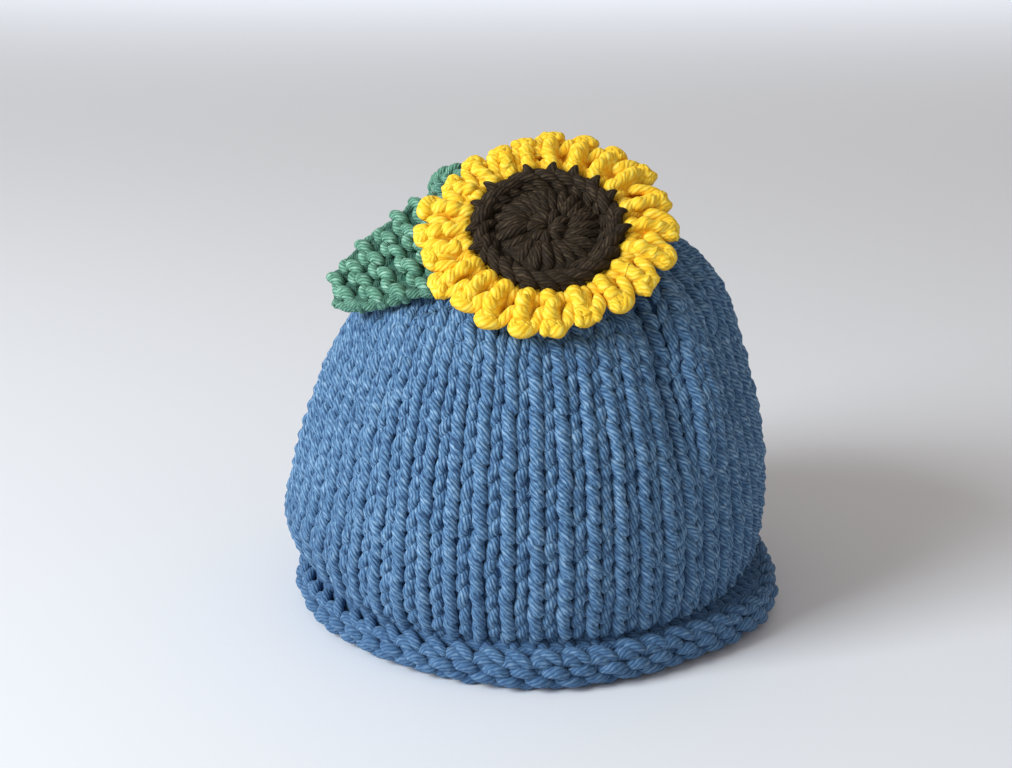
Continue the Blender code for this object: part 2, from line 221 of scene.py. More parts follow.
@dataclass
class FlowerPlace:
    """Where the flower lies, and the height of its underside."""

    place: tuple[float, float, float] = (2.9, -26.45, 102.5)
    tilt: float = math.radians(38)
    disc_under: float = -2.5
    petal_inner: float = 18.8
    petal_outer: float = 31.6
    petal_half: float = 1.7
    petal_droop: float = 3.0
    ruffle: tuple[float, float] = (0.5, 1.6)

    def __post_init__(self) -> None:
        """Works out the flower's own axes."""
        self.middle = np.array(self.place) * MM
        self.across = np.array((1.0, 0.0, 0.0))
        self.uphill = np.array((0.0, math.cos(self.tilt), math.sin(self.tilt)))
        self.out = np.array((0.0, -math.sin(self.tilt), math.cos(self.tilt)))

    def point(self, angle: np.ndarray, reach: np.ndarray, height: np.ndarray) -> np.ndarray:
        """Points given by angle, and by reach and height in millimetres.

        Args:
            angle: Each point's angle.
            reach: How far each point lies from the flower's middle.
            height: How far each point lies above the flower's plane.

        Returns:
            The points, in metres.
        """
        angle, reach, height = np.broadcast_arrays(angle, reach, height)
        flat = np.cos(angle)[..., None] * self.across + np.sin(angle)[..., None] * self.uphill
        return self.middle + (flat * reach[..., None] + self.out * height[..., None]) * MM

    def under(self, reach: np.ndarray) -> np.ndarray:
        """Height of the underside above the flower's plane, in metres.

        Args:
            reach: How far from the flower's middle, in metres.

        Returns:
            The height at each reach.
        """
        share = (reach / MM - self.petal_inner) / (self.petal_outer - self.petal_inner)
        wave = self.ruffle[0] + (self.ruffle[1] - self.ruffle[0]) * share
        ring = -(wave + self.petal_half + self.petal_droop * share)
        return np.where(share > 0, np.minimum(self.disc_under, ring), self.disc_under) * MM

    def keep_under(self, points: np.ndarray, clearance: float) -> np.ndarray:
        """The points, lowered where they come within clearance of the underside.

        Args:
            points: The points.
            clearance: How far below the underside they must lie.

        Returns:
            The points, lowered where needed.
        """
        points = points.copy()
        for _ in range(KEEP_ROUNDS):
            away = points - self.middle
            reach = np.hypot(away @ self.across, away @ self.uphill)
            outer = self.petal_outer * MM
            beyond = np.maximum(reach - outer - KEEP_MARGIN, 0.0)
            limit = self.under(np.minimum(reach, outer)) - clearance + KEEP_SLOPE * beyond
            points[..., 2] -= np.maximum(away @ self.out - limit, 0.0) / self.out[2]
        return points


@dataclass
class LeafPlace:
    """Where a leaf lies: root and tip, the way across it, its arch and its outline."""

    name: str
    root: tuple[float, float, float]
    tip: tuple[float, float, float]
    across_hint: tuple[float, float, float]
    arch: float
    half_width: float
    flower: FlowerPlace
    half_thickness: float = 2.4
    ridge: float = 0.5
    gap: float = 0.35
    outline: tuple[tuple[float, float], ...] = (
        (0.0, 0.42), (0.12, 0.66), (0.28, 0.98), (0.42, 1.03), (0.6, 0.95), (0.75, 0.82),
        (0.88, 0.6), (0.96, 0.42), (1.0, 0.26),
    )

    def __post_init__(self) -> None:
        """Works out the leaf's own axes."""
        self.start = np.array(self.root) * MM
        chord = np.array(self.tip) * MM - self.start
        self.length = float(np.linalg.norm(chord))
        self.along = chord / self.length
        hint = np.array(self.across_hint)
        self.across = unit(hint - self.along * (hint @ self.along))
        self.out = np.cross(self.along, self.across)
        if self.out[2] < 0:
            self.out = -self.out

    def width_at(self, share: np.ndarray) -> np.ndarray:
        """Half the leaf's width at a share of its length, in metres."""
        shares, widths = zip(*self.outline)
        return np.interp(share, shares, widths) * self.half_width * MM

    def middle(self, share: np.ndarray, offset: np.ndarray) -> np.ndarray:
        """Points of the leaf's middle surface.

        Args:
            share: How far along the leaf, from 0 to 1.
            offset: How far across the leaf, in metres.

        Returns:
            The points, in metres.
        """
        share, offset = np.broadcast_arrays(share, offset)
        lift = self.arch * MM * 4 * share * (1 - share)
        flat = self.start + self.along * (self.length * share)[..., None]
        flat = flat + self.across * offset[..., None] + self.out * lift[..., None]
        clearance = (self.half_thickness + self.ridge + 2 * self.gap) * MM
        return self.flower.keep_under(flat, clearance)

    def keep_under(self, points: np.ndarray) -> np.ndarray:
        """The points, lowered where they come too near the leaf's underside.

        Args:
            points: The points.

        Returns:
            The points, lowered where needed.
        """
        points = points.copy()
        depth = (self.half_thickness + self.ridge + self.gap) * MM
        for _ in range(KEEP_ROUNDS):
            away = points - self.start
            reach = away @ self.along
            share = np.clip(reach / self.length, 0.0, 1.0)
            offset = away @ self.across
            beyond = np.maximum(np.abs(offset) - self.width_at(share) - KEEP_MARGIN, 0.0)
            beyond += np.maximum(np.abs(reach - share * self.length) - KEEP_MARGIN, 0.0)
            above = np.sum((points - self.middle(share, offset)) * self.out, axis=-1)
            points[..., 2] -= np.maximum(above + depth - KEEP_SLOPE * beyond, 0.0) / self.out[2]
        return points


@dataclass
class CoverFace:
    """The outer face of the knitted cover, by angle and by row of stitches."""

    flower: FlowerPlace
    leaves: Sequence[LeafPlace]
    axis: tuple[float, float] = (-1.5, 1.1)
    sections: tuple[Section, ...] = (
        Section((60.9, 12.5), (59.3, 12.5), (60.2, 12.5), (60.0, 12.5)),
        Section((62.8, 21.0), (61.2, 21.0), (61.6, 21.0), (61.0, 21.0)),
        Section((61.6, 30.5), (61.7, 30.5), (61.6, 30.5), (61.2, 30.5)),
        Section((60.1, 40.0), (60.8, 40.5), (60.8, 40.5), (60.5, 40.0)),
        Section((57.3, 49.5), (59.4, 51.0), (59.0, 50.5), (58.8, 50.0)),
        Section((53.3, 58.5), (56.7, 61.5), (55.9, 60.5), (55.8, 59.5)),
        Section((48.8, 66.5), (53.3, 71.5), (51.5, 70.5), (51.8, 69.5)),
        Section((44.2, 74.2), (50.4, 80.0), (46.5, 79.5), (47.0, 78.5)),
        Section((39.4, 82.0), (45.7, 87.2), (41.0, 86.5), (41.4, 86.2)),
        Section((33.2, 89.6), (38.6, 92.8), (34.4, 92.6), (34.5, 92.8)),
        Section((26.0, 96.6), (30.5, 97.8), (27.2, 98.2), (27.0, 98.4)),
        Section((18.0, 102.6), (21.0, 102.8), (19.0, 103.0), (19.0, 103.4)),
        Section((10.5, 106.4), (12.0, 106.6), (11.0, 106.6), (11.0, 106.8)),
        Section((4.0, 108.2), (4.0, 108.2), (4.0, 108.2), (4.0, 108.2)),
    )
    folds: tuple[Fold, ...] = (Fold(319, 5.5, 2.6), Fold(308.5, 5.0, -2.4), Fold(333, 6.0, -1.3))
    fold_fade: tuple[float, float] = (44.0, 64.0)
    pleats: int = 16
    pleat_depth: float = 1.1
    pleat_reach: tuple[float, float] = (36.0, 20.0)
    foot: tuple[float, float] = (-4.8, 7.0)
    groove: Fold = Fold(203, 27, 4.6)
    groove_fade: tuple[float, float] = (12.0, 38.0)
    groove_draw: float = 0.4
    fold_end: tuple[float, float] = (24.0, 10.0)
    pleat_start: tuple[float, float] = (2.0, 9.0)
    clearance: float = 0.35
    slope_step: float = 0.05
    rows: int = 30
    around: int = 720
    per_row: int = 10
    per_section: int = 30
    smoothings: int = 8
    flat_top: int = 3

    def __post_init__(self) -> None:
        """Measures the face out into even rows, and keeps it as a grid."""
        top = len(self.sections) - 1
        angles = np.arange(self.around) * TURN / self.around
        places = np.linspace(0, top, self.per_section * top + 1)
        face = self.face(angles[:, None], places[None, :])
        low = face[:, :1].copy()
        groove = lift_of((self.groove,), angles)[:, None]
        drawn = self.foot[0] * MM - self.groove_draw * groove
        low += outward_at(angles)[:, None] * drawn[..., None]
        low[..., 2] = self.foot[1] * MM + groove
        line = np.concatenate((low, face), axis=1)
        lengths = np.linalg.norm(np.diff(line, axis=1), axis=-1)
        run = np.concatenate((np.zeros((self.around, 1)), np.cumsum(lengths, axis=1)), axis=1)
        wanted = np.linspace(0, 1, self.rows * self.per_row + 1)
        grid = np.empty((self.around, len(wanted), 3))
        for i in range(self.around):
            for axis in range(3):
                grid[i, :, axis] = np.interp(wanted * run[i, -1], run[i], line[i, :, axis])
        self.pitch = float(run[:, -1].mean() / self.rows)
        self.grid = grid
        smoothed = grid.copy()
        for _ in range(self.smoothings):
            smoothed = (smoothed + np.roll(smoothed, 1, axis=0) + np.roll(smoothed, -1, axis=0)) / 3
            smoothed[:, 1:-1] = (smoothed[:, :-2] + smoothed[:, 1:-1] + smoothed[:, 2:]) / 3
        around = np.roll(smoothed, -1, axis=0) - np.roll(smoothed, 1, axis=0)
        up = np.gradient(smoothed, axis=1)
        normal = unit(np.cross(around, up))
        normal[:, -self.flat_top:] = (0, 0, 1)
        self.normal = normal

    def plain(self, angle: np.ndarray, place: np.ndarray) -> tuple[np.ndarray, np.ndarray]:
        """Reach and height before the folds, in metres, at a place up the sections.

        Args:
            angle: Each angle.
            place: Each place, counted in sections.

        Returns:
            The reach and the height.
        """
        angle, place = np.broadcast_arrays(angle, place)
        right, back = np.cos(angle), np.sin(angle)
        weights = [np.maximum(-right, 0), np.maximum(right, 0), np.maximum(-back, 0),
                   np.maximum(back, 0)]
        table = np.array(self.sections) * MM
        last = len(table) - 1
        step = np.clip(np.floor(place).astype(int), 0, last - 1)
        share = place - step
        total = np.zeros(angle.shape + (2,))
        for side, weight in enumerate(weights):
            before, start, end, after = (
                table[np.clip(step + i, 0, last), side] for i in (-1, 0, 1, 2))
            total += (weight**2)[..., None] * spline(before, start, end, after, share[..., None])
        return total[..., 0], total[..., 1]

    def face(self, angle: np.ndarray, place: np.ndarray) -> np.ndarray:
        """Points of the face with its folds, kept under the flower and the leaves.

        Args:
            angle: Each angle.
            place: Each place, counted in sections.

        Returns:
            The points.
        """
        angle, place = np.broadcast_arrays(angle, place)
        reach, height = self.plain(angle, place)
        low = self.plain(angle, np.maximum(place - self.slope_step, 0))
        high = self.plain(angle, np.minimum(place + self.slope_step, len(self.sections) - 1))
        run, rise = high[0] - low[0], high[1] - low[1]
        length = np.hypot(run, rise)
        out, up = rise / length, -run / length
        fold = lift_of(self.folds, angle) * smooth(height / MM, *self.fold_fade)
        fold = fold * (1 - smooth(reach / MM, *self.fold_end))
        pleat = self.pleat_depth * MM * np.cos(self.pleats * angle)
        pleat = pleat * smooth(reach / MM, *self.pleat_reach)
        pleat = pleat * smooth(reach / MM, *self.pleat_start)
        rise = lift_of((self.groove,), angle) * (1 - smooth(height / MM, *self.groove_fade))
        reach, height = reach + fold * out, height + fold * up + pleat + rise
        points = np.stack((self.axis[0] * MM + reach * np.cos(angle),
                           self.axis[1] * MM + reach * np.sin(angle), height), -1)
        points = self.flower.keep_under(points, self.clearance * MM)
        for leaf in self.leaves:
            points = leaf.keep_under(points)
        return points

    def reach_of(self, points: np.ndarray) -> np.ndarray:
        """How far points lie from the cover's upright axis, in metres."""
        return np.hypot(points[..., 0] - self.axis[0] * MM, points[..., 1] - self.axis[1] * MM)

    def at(self, angle: np.ndarray, row: np.ndarray) -> tuple[np.ndarray, np.ndarray]:
        """Points and outward directions of the face, by angle and by row.

        Args:
            angle: Each angle.
            row: Each place up the face, in rows.

        Returns:
            The points, and the outward direction at each.
        """
        u = (angle / TURN % 1.0) * self.around
        v = np.clip(row, 0, self.rows) * self.per_row
        i = np.floor(u).astype(int) % self.around
        j = np.clip(np.floor(v).astype(int), 0, self.rows * self.per_row - 1)
        a, b = (u - np.floor(u))[..., None], (v - j)[..., None]
        n = (i + 1) % self.around

        def read(table: np.ndarray) -> np.ndarray:
            """The table, read between its nearest four points."""
            low = table[i, j] * (1 - a) + table[n, j] * a
            high = table[i, j + 1] * (1 - a) + table[n, j + 1] * a
            return low * (1 - b) + high * b

        return read(self.grid), unit(read(self.normal))


@dataclass
class Slit:
    """A lens-shaped slit: its angle, its lowest and highest point, its width and its column."""

    angle: float
    low: float
    high: float
    width: float
    column: float
    reach: float = math.radians(85)
    bluntness: float = 0.7
    least_reach: float = 10.0

    def half(self, height: np.ndarray) -> np.ndarray:
        """Half the slit's width at each height, in metres."""
        share = np.clip((height / MM - self.low) / (self.high - self.low), 0, 1)
        return self.width / 2 * MM * np.sin(math.pi * share) ** self.bluntness

    def holds(self, height: np.ndarray) -> np.ndarray:
        """Whether each height lies between the slit's two ends."""
        return (height > self.low * MM) & (height < self.high * MM)

    def part(self, angle: np.ndarray, side: np.ndarray, half: np.ndarray,
             reach: np.ndarray, cut: float) -> np.ndarray:
        """The angles, moved aside to open the slit.

        Args:
            angle: Where the cloth would be without the slit.
            side: 1 for cloth on the far side of the slit, -1 for cloth on its near side.
            half: Half the slit's width at each point's height.
            reach: How far the cloth lies from the upright axis.
            cut: The angle that opens.

        Returns:
            The angles with the slit open.
        """
        away = np.maximum(turn_away(angle, cut) * side, 0)
        fade = np.maximum(1 - away / self.reach, 0) ** 2
        shift = side * half / np.maximum(reach, self.least_reach * MM)
        return angle + ((self.angle - cut) + shift) * fade


class Tube(NamedTuple):
    """A run of yarn: its centre line, the outward direction along it, and its radius."""

    points: np.ndarray
    outward: np.ndarray
    radius: np.ndarray
    closed: bool = False
    shade: float = 1.0


class YarnMesh:
    """Runs of yarn, gathered into one mesh with its length and turn as coordinates."""

    INWARD = (0.35, 1.45)  # where painted shade starts on the side that faces inward, and where it is strongest
    CAP_HEIGHT = 0.7  # of an end's dome, as a share of the radius
    # painted shade on the tip of an end's dome
    CAP_SHADE = 0.6
    STAGGER = (3.7, 11.0)  # step and span, in millimetres, so that no two runs start alike
    LANE_SHAPE = 0.18  # makes the strips of the baking sheet about as long as the sheet is high
    LANE_MARGIN = 0.04

    def __init__(self, name: str, sides: int = 8, hidden: float = 0.85) -> None:
        """Starts an empty mesh.

        Args:
            name: The object's name.
            sides: How many sides each tube has.
            hidden: How much painted shade falls on the side of a tube that faces inward.
        """
        self.name = name
        self.sides = sides
        self.hidden = hidden
        self.tubes: list[Tube] = []

    def add(self, points: np.ndarray, outward: np.ndarray, radius: Union[float, np.ndarray],
            closed: bool = False, shade: float = 1.0) -> None:
        """Adds one run of yarn.

        Args:
            points: Its centre line.
            outward: The outward direction, at each point or for all of them.
            radius: Its radius, at each point or for all of them.
            closed: Whether its end joins its start.
            shade: Its painted shade, from 0 (all the shade colour) to 1 (none).
        """
        radius = np.broadcast_to(np.asarray(radius, float), (len(points),))
        outward = np.broadcast_to(outward, points.shape)
        self.tubes.append(Tube(points, outward, radius, closed, shade))

    def build(self) -> bpy.types.Object:
        """The finished object.

        Returns:
            The object.
        """
        sides = self.sides
        turn = np.arange(sides) * TURN / sides
        verts, quads, along, around, shades = [], [], [], [], []
        base = 0
        for index, tube in enumerate(self.tubes):
            line = tube.points
            if tube.closed:
                tangent = np.roll(line, -1, axis=0) - np.roll(line, 1, axis=0)
            else:
                tangent = np.gradient(line, axis=0)
            tangent = unit(tangent)
            beside = unit(np.cross(tangent, tube.outward))
            above = np.cross(beside, tangent)
            rim = (np.cos(turn)[None, :, None] * above[:, None]
                   + np.sin(turn)[None, :, None] * beside[:, None])
            verts.append((line[:, None] + rim * tube.radius[:, None, None]).reshape(-1, 3))
            count = len(line)
            rows = count if tube.closed else count - 1
            i = np.arange(rows)[:, None]
            k = np.arange(sides)[None, :]
            after, beside_k = (i + 1) % count, (k + 1) % sides
            quads.append(np.stack((base + i * sides + k, base + i * sides + beside_k,
                                   base + after * sides + beside_k, base + after * sides + k),
                                  -1).reshape(-1, 4))
            step = np.linalg.norm(np.roll(line, -1, axis=0) - line, axis=1)[:rows]
            offset = index * self.STAGGER[0] % self.STAGGER[1]
            run = np.concatenate(((0.0,), np.cumsum(step))) + offset * MM
            start = np.broadcast_to(run[:-1, None], (rows, sides))
            end = np.broadcast_to(run[1:, None], (rows, sides))
            along.append(np.stack((start, start, end, end), -1).reshape(-1, 4))
            near = np.broadcast_to(k / sides, (rows, sides))
            far = np.broadcast_to((k + 1) / sides, (rows, sides))
            around.append(np.stack((near, far, far, near), -1).reshape(-1, 4))
            # painted shade on the side of each tube that faces inward, times the run's own painted
            # shade
            hidden = smooth(1 - np.cos(turn), *self.INWARD)
            shades.append(np.tile(tube.shade * (1 - self.hidden * hidden), count))
            base += count * sides
            if not tube.closed:
                base = self._cap(verts, quads, along, around, shades, base, tube, tangent)
        return self._object(np.concatenate(verts), np.concatenate(quads),
                            np.concatenate(along), np.concatenate(around), np.concatenate(shades))

    def _cap(self, verts: list, quads: list, along: list, around: list, shades: list, base: int,
             tube: Tube, tangent: np.ndarray) -> int:
        """Closes both ends of an open run with a low dome, and returns the next free index.

        Args:
            verts: The points so far.
            quads: The faces so far.
            along: The lengths along the yarn so far.
            around: The turns round the yarn so far.
            shades: The shades so far.
            base: The next free index.
            tube: The run of yarn.
            tangent: Its direction at each point.

        Returns:
            The next free index.
        """
        sides, count = self.sides, len(tube.points)
        first = base - count * sides
        ends = ((0, -1.0, first), (count - 1, 1.0, base - sides))
        for index, way, ring in ends:
            tip = tube.points[index] + tangent[index] * way * tube.radius[index] * self.CAP_HEIGHT
            verts.append(tip[None])
            pairs = []
            for k in range(0, sides, 2):
                a, b, c = ring + k, ring + (k + 1) % sides, ring + (k + 2) % sides
                pairs.append((a, base, c, b) if way < 0 else (a, b, c, base))
            quads.append(np.array(pairs))
            along.append(np.zeros((len(pairs), 4)))
            around.append(np.zeros((len(pairs), 4)))
            shades.append(np.full(1, tube.shade * self.CAP_SHADE))
            base += 1
        return base

    def _object(self, verts: np.ndarray, quads: np.ndarray, along: np.ndarray,
                around: np.ndarray, shades: np.ndarray) -> bpy.types.Object:
        """The mesh object of all the tubes.

        Args:
            verts: The points.
            quads: The faces.
            along: Each corner's length along the yarn.
            around: Each corner's turn round the yarn.
            shades: Each point's shade.

        Returns:
            The object.
        """
        mesh = bpy.data.meshes.new(self.name)
        mesh.vertices.add(len(verts))
        mesh.vertices.foreach_set("co", verts.astype(np.float32).ravel())
        mesh.loops.add(quads.size)
        mesh.loops.foreach_set("vertex_index", quads.astype(np.int32).ravel())
        mesh.polygons.add(len(quads))
        mesh.polygons.foreach_set("loop_start", np.arange(0, quads.size, 4, dtype=np.int32))
        mesh.update(calc_edges=True)
        mesh.validate()
        return finish_mesh(mesh, np.stack((along / MM, around), -1), self._lanes(len(quads)),
                           shades)

    def _lanes(self, count: int) -> np.ndarray:
        """Lays the tubes' faces out for baking, in lanes of strips.

        Args:
            count: How many faces there are.

        Returns:
            The four corners of each face.
        """
        strips = count // self.sides + 1
        lanes = max(int(math.sqrt(strips * self.LANE_SHAPE)), 1)
        per_lane = math.ceil(strips / lanes)
        index = np.arange(count)
        strip, side = index // self.sides, index % self.sides
        lane, place = strip // per_lane, strip % per_lane
        margin = self.LANE_MARGIN
        left, right = (place + margin) / per_lane, (place + 1 - margin) / per_lane
        low = (lane + margin + side * (1 - 2 * margin) / self.sides) / (lanes + 1)
        high = (lane + margin + (side + 1) * (1 - 2 * margin) / self.sides) / (lanes + 1)
        return np.stack((np.stack((left, low), -1), np.stack((left, high), -1),
                         np.stack((right, high), -1), np.stack((right, low), -1)), 1)


class Value:
    """A shader socket whose operators add Math nodes."""

    def __init__(self, tree: bpy.types.NodeTree, socket: bpy.types.NodeSocket) -> None:
        """Wraps a socket of a tree."""
        self.tree = tree
        self.socket = socket

    def _math(self, operation: str, *values: Union["Value", float]) -> "Value":
        """A Math node on these values.

        Args:
            operation: What the node works out.
            values: What it works on.

        Returns:
            The result.
        """
        made = self.tree.nodes.new("ShaderNodeMath")
        made.operation = operation
        for slot, value in zip(made.inputs, values):
            if isinstance(value, Value):
                self.tree.links.new(value.socket, slot)
            else:
                slot.default_value = value
        return Value(self.tree, made.outputs[0])

    def __add__(self, other: Union["Value", float]) -> "Value":
        """This plus other."""
        return self._math("ADD", self, other)

    def __radd__(self, other: float) -> "Value":
        """Other plus this."""
        return self._math("ADD", other, self)

    def __sub__(self, other: Union["Value", float]) -> "Value":
        """This minus other."""
        return self._math("SUBTRACT", self, other)

    def __rsub__(self, other: float) -> "Value":
        """Other minus this."""
        return self._math("SUBTRACT", other, self)

    def __mul__(self, other: Union["Value", float]) -> "Value":
        """This times other."""
        return self._math("MULTIPLY", self, other)

    def __rmul__(self, other: float) -> "Value":
        """Other times this."""
        return self._math("MULTIPLY", other, self)

    def __pow__(self, other: float) -> "Value":
        """This raised to a power."""
        return self._math("POWER", self, other)

    def sine(self) -> "Value":
        """The sine of this."""
        return self._math("SINE", self)

    def size(self) -> "Value":
        """This without its sign."""
        return self._math("ABSOLUTE", self)

    def within(self) -> "Value":
        """This, kept from 0 to 1."""
        return self._math("MINIMUM", self._math("MAXIMUM", self, 0.0), 1.0)


class Surface:
    """A material being made: its tree, its shader and the nodes it uses."""

    MIX_INPUTS = (0, 6, 7)  # a Mix node's share and its two colours
    MIX_OUTPUT = 2

    def __init__(self, name: str) -> None:
        """Starts a plain material.

        Args:
            name: The material's name.
        """
        self.material = bpy.data.materials.new(name)
        self.material.use_nodes = True
        self.tree = self.material.node_tree
        self.shader = self.tree.nodes["Principled BSDF"]

    def node(self, kind: str, settings: dict, inputs: dict, output: Union[int, str] = 0) -> Value:
        """Adds a node.

        Args:
            kind: The node's type.
            settings: Values of its own, such as a ramp's stops under "stops".
            inputs: Values or links of its sockets, by name or number.
            output: The socket that is returned.

        Returns:
            The wrapped output.
        """
        made = self.tree.nodes.new(kind)
        for key, value in settings.items():
            if key == "stops":
                self._stops(made.color_ramp, value)
            else:
                setattr(made, key, value)
        for key, value in inputs.items():
            self.feed(made.inputs[key], value)
        return Value(self.tree, made.outputs[output])

    def _stops(self, ramp: bpy.types.ColorRamp, stops: Sequence[tuple]) -> None:
        """Sets the stops of a ramp.

        Args:
            ramp: The ramp.
            stops: Each stop's place and colour.
        """
        while len(ramp.elements) < len(stops):
            ramp.elements.new(1.0)
        for element, (place, color) in zip(ramp.elements, stops):
            element.position = place
            element.color = color

    def feed(self, socket: bpy.types.NodeSocket, value: Union[Value, float, tuple]) -> None:
        """Sets a socket, or links it.

        Args:
            socket: The socket.
            value: Its value, or what it is linked to.
        """
        if isinstance(value, Value):
            self.tree.links.new(value.socket, socket)
        else:
            socket.default_value = value

    def set(self, **inputs: Union[Value, float, tuple]) -> None:
        """Sets or links the shader's sockets, named with _ for a space."""
        for key, value in inputs.items():
            self.feed(self.shader.inputs[key.replace("_", " ")], value)

    def mix(self, share: Union[Value, float], first: Union[Value, tuple],
            second: Union[Value, tuple]) -> Value:
        """A mix of two colours."""
        inputs = dict(zip(self.MIX_INPUTS, (share, first, second)))
        return self.node("ShaderNodeMix", {"data_type": "RGBA"}, inputs, self.MIX_OUTPUT)

    def noise(self, place: Value, scale: float, detail: float) -> Value:
        """A soft random pattern."""
        return self.node("ShaderNodeTexNoise", {},
                         {"Vector": place, "Scale": scale, "Detail": detail})

    def pair(self, x: Value, y: Value) -> Value:
        """A vector of two values."""
        return self.node("ShaderNodeCombineXYZ", {}, {0: x, 1: y})


@dataclass(frozen=True)
class YarnFinish:
    """Plied yarn: its colours with its painted shade and painted highlights, and how its plies and
    fibres lie.
    """

    slot: str
    base: tuple[float, float, float]
    # the lowest tone: painted shade in the grooves between plies, and also random darker fibres
    deep: tuple[float, float, float]
    # the highest tone: painted highlights on the plies' crests and painted glints, and also random
    # lighter fibres; it tints the sheen as well
    bright: tuple[float, float, float]
    # the colour of the painted shade, which a point takes as its shade attribute falls to 0
    shade_color: tuple[float, float, float]
    plies: int = 10
    lead: float = 13.0
    ply_depth: float = 0.2
    # how far painted shade lowers the tone in the grooves between plies
    crease_shade_strength: float = 0.62
    roughness: float = 0.75
    sheen: float = 0.35
    sheen_roughness: float = 0.6
    gloss: float = 0.25
    # the tone of a ply's crest, and how narrowly painted shade falls in the grooves beside it
    crest_tone: float = 0.58
    valley_power: float = 1.8
    drift: float = 0.9
    drift_scale: float = 420.0
    patches: float = 0.6
    patch_scale: float = 190.0
    # painted glints: light streaks along the plies, and how long they run
    glints: float = 1.1
    glint_stretch: float = 0.8
    fibres: float = 0.6
    fibre_scale: float = 1.6
    fibre_stretch: tuple[float, float] = (3.0, 0.5)
    relief: tuple[float, float] = (0.8, 0.3)

    def build(self) -> bpy.types.Material:
        """The yarn's material, with the plies' lines running round the yarn, painted shade in their
        grooves and where the shade attribute says, and painted glints along them.

        Returns:
            The material.
        """
        s = Surface(self.slot)
        uv = s.node("ShaderNodeUVMap", {"uv_map": YARN_MAP}, {}, "UV")
        along, around = (s.node("ShaderNodeSeparateXYZ", {}, {0: uv}, axis) for axis in "XY")
        place = s.node("ShaderNodeTexCoord", {}, {}, "Object")
        phase = (around * float(self.plies) + along * (self.plies / self.lead)
                 + s.noise(place, self.drift_scale, 1.0) * self.drift)
        ply = (phase * math.pi).sine().size()
        stretch, squeeze = self.fibre_stretch
        fibre = s.noise(s.pair(phase * stretch, along * squeeze), self.fibre_scale, 2.0)
        # painted glints along the plies
        glint = s.noise(s.pair(phase, along * self.glint_stretch), 1.0, 0.0)
        patch = s.noise(place, self.patch_scale, 2.0)
        # each point's painted shade, from the mesh
        shade = s.node("ShaderNodeAttribute", {"attribute_name": SHADE}, {}, "Fac")
        # the plies' grooves take painted shade and the glints painted highlights; fibres and patches
        # vary the tone at random
        valley = (1.0 - ply) ** self.valley_power
        tone = (self.crest_tone - valley * self.crease_shade_strength + (glint - 0.5) * self.glints
                + (fibre - 0.5) * self.fibres + (patch - 0.5) * self.patches).within()
        color = s.node("ShaderNodeValToRGB", {"stops": (
            (0.0, (*self.deep, 1)), (0.5, (*self.base, 1)), (1.0, (*self.bright, 1)))},
            {"Fac": tone})
        bump = s.node("ShaderNodeBump", {}, {
            "Height": ply * self.relief[0] + fibre * self.relief[1], "Strength": 1.0,
            "Distance": self.ply_depth * MM}, "Normal")
        # painted shade: the colour turns toward the shade colour where the shade attribute falls
        s.set(Base_Color=s.mix(shade, (*self.shade_color, 1), color), Roughness=self.roughness,
              Normal=bump, Sheen_Weight=self.sheen, Sheen_Roughness=self.sheen_roughness,
              Sheen_Tint=(*self.bright, 1), Specular_IOR_Level=self.gloss)
        return s.material


def plain_material(name: str, color: tuple[float, float, float], roughness: float = 0.9,
                   gloss: float = 0.1) -> bpy.types.Material:
    """A plain material, matt unless it is told otherwise.

    Args:
        name: Its name.
        color: Its colour.
        roughness: How rough it is.
        gloss: How much light it throws back from its face.

    Returns:
        The material.
    """
    s = Surface(name)
    s.set(Base_Color=(*color, 1), Roughness=roughness, Specular_IOR_Level=gloss)
    return s.material


def dress(piece: bpy.types.Object, material: bpy.types.Material, slot: str,
          *nodes: str) -> bpy.types.Object:
    """Gives a piece its material and its body, and hides the solids it stands for.

    Args:
        piece: The piece.
        material: Its material.
        slot: Its slot; not used.
        nodes: The nodes of the solids it stands for.

    Returns:
        The piece.
    """
    piece.data.materials.clear()
    piece.data.materials.append(material)
    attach(piece, BODY)
    if nodes:
        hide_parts(*nodes)
    log.info("%s: %d faces", piece.name, len(piece.data.polygons))
    return piece


class Decrease(NamedTuple):
    """Where stitches are knitted together: from which row, and how many become how many."""

    row: float
    group: int
    left: int


class Unevenness(NamedTuple):
    """How far loops stray in their lean, their place, their row, their height and thickness."""

    lean: float = 0.16
    place: float = 0.035
    row: float = 0.07
    height: float = 0.14
    thickness: float = 0.05


class Chain(NamedTuple):
    """The chain of stitches round a slit: its yarn, how it waves, and its stitches to a row."""

    yarn: float = 1.45
    swell: float = 0.12
    wave: float = 0.55
    sink: float = 1.9
    rise: float = 0.5
    lag: float = 1.5
    per_row: int = 8
    samples: int = 1200


class Ground(NamedTuple):
    """The thin cloth behind the loops: its grid, its edges, and how deep it lies."""

    around: int = 224
    levels: int = 104
    lip: float = math.radians(0.35)
    first_row: float = 0.35  # in rows
    spare_rows: float = 0.15  # in rows, at the crown
    nearer: float = 0.25
    dip: float = 0.3


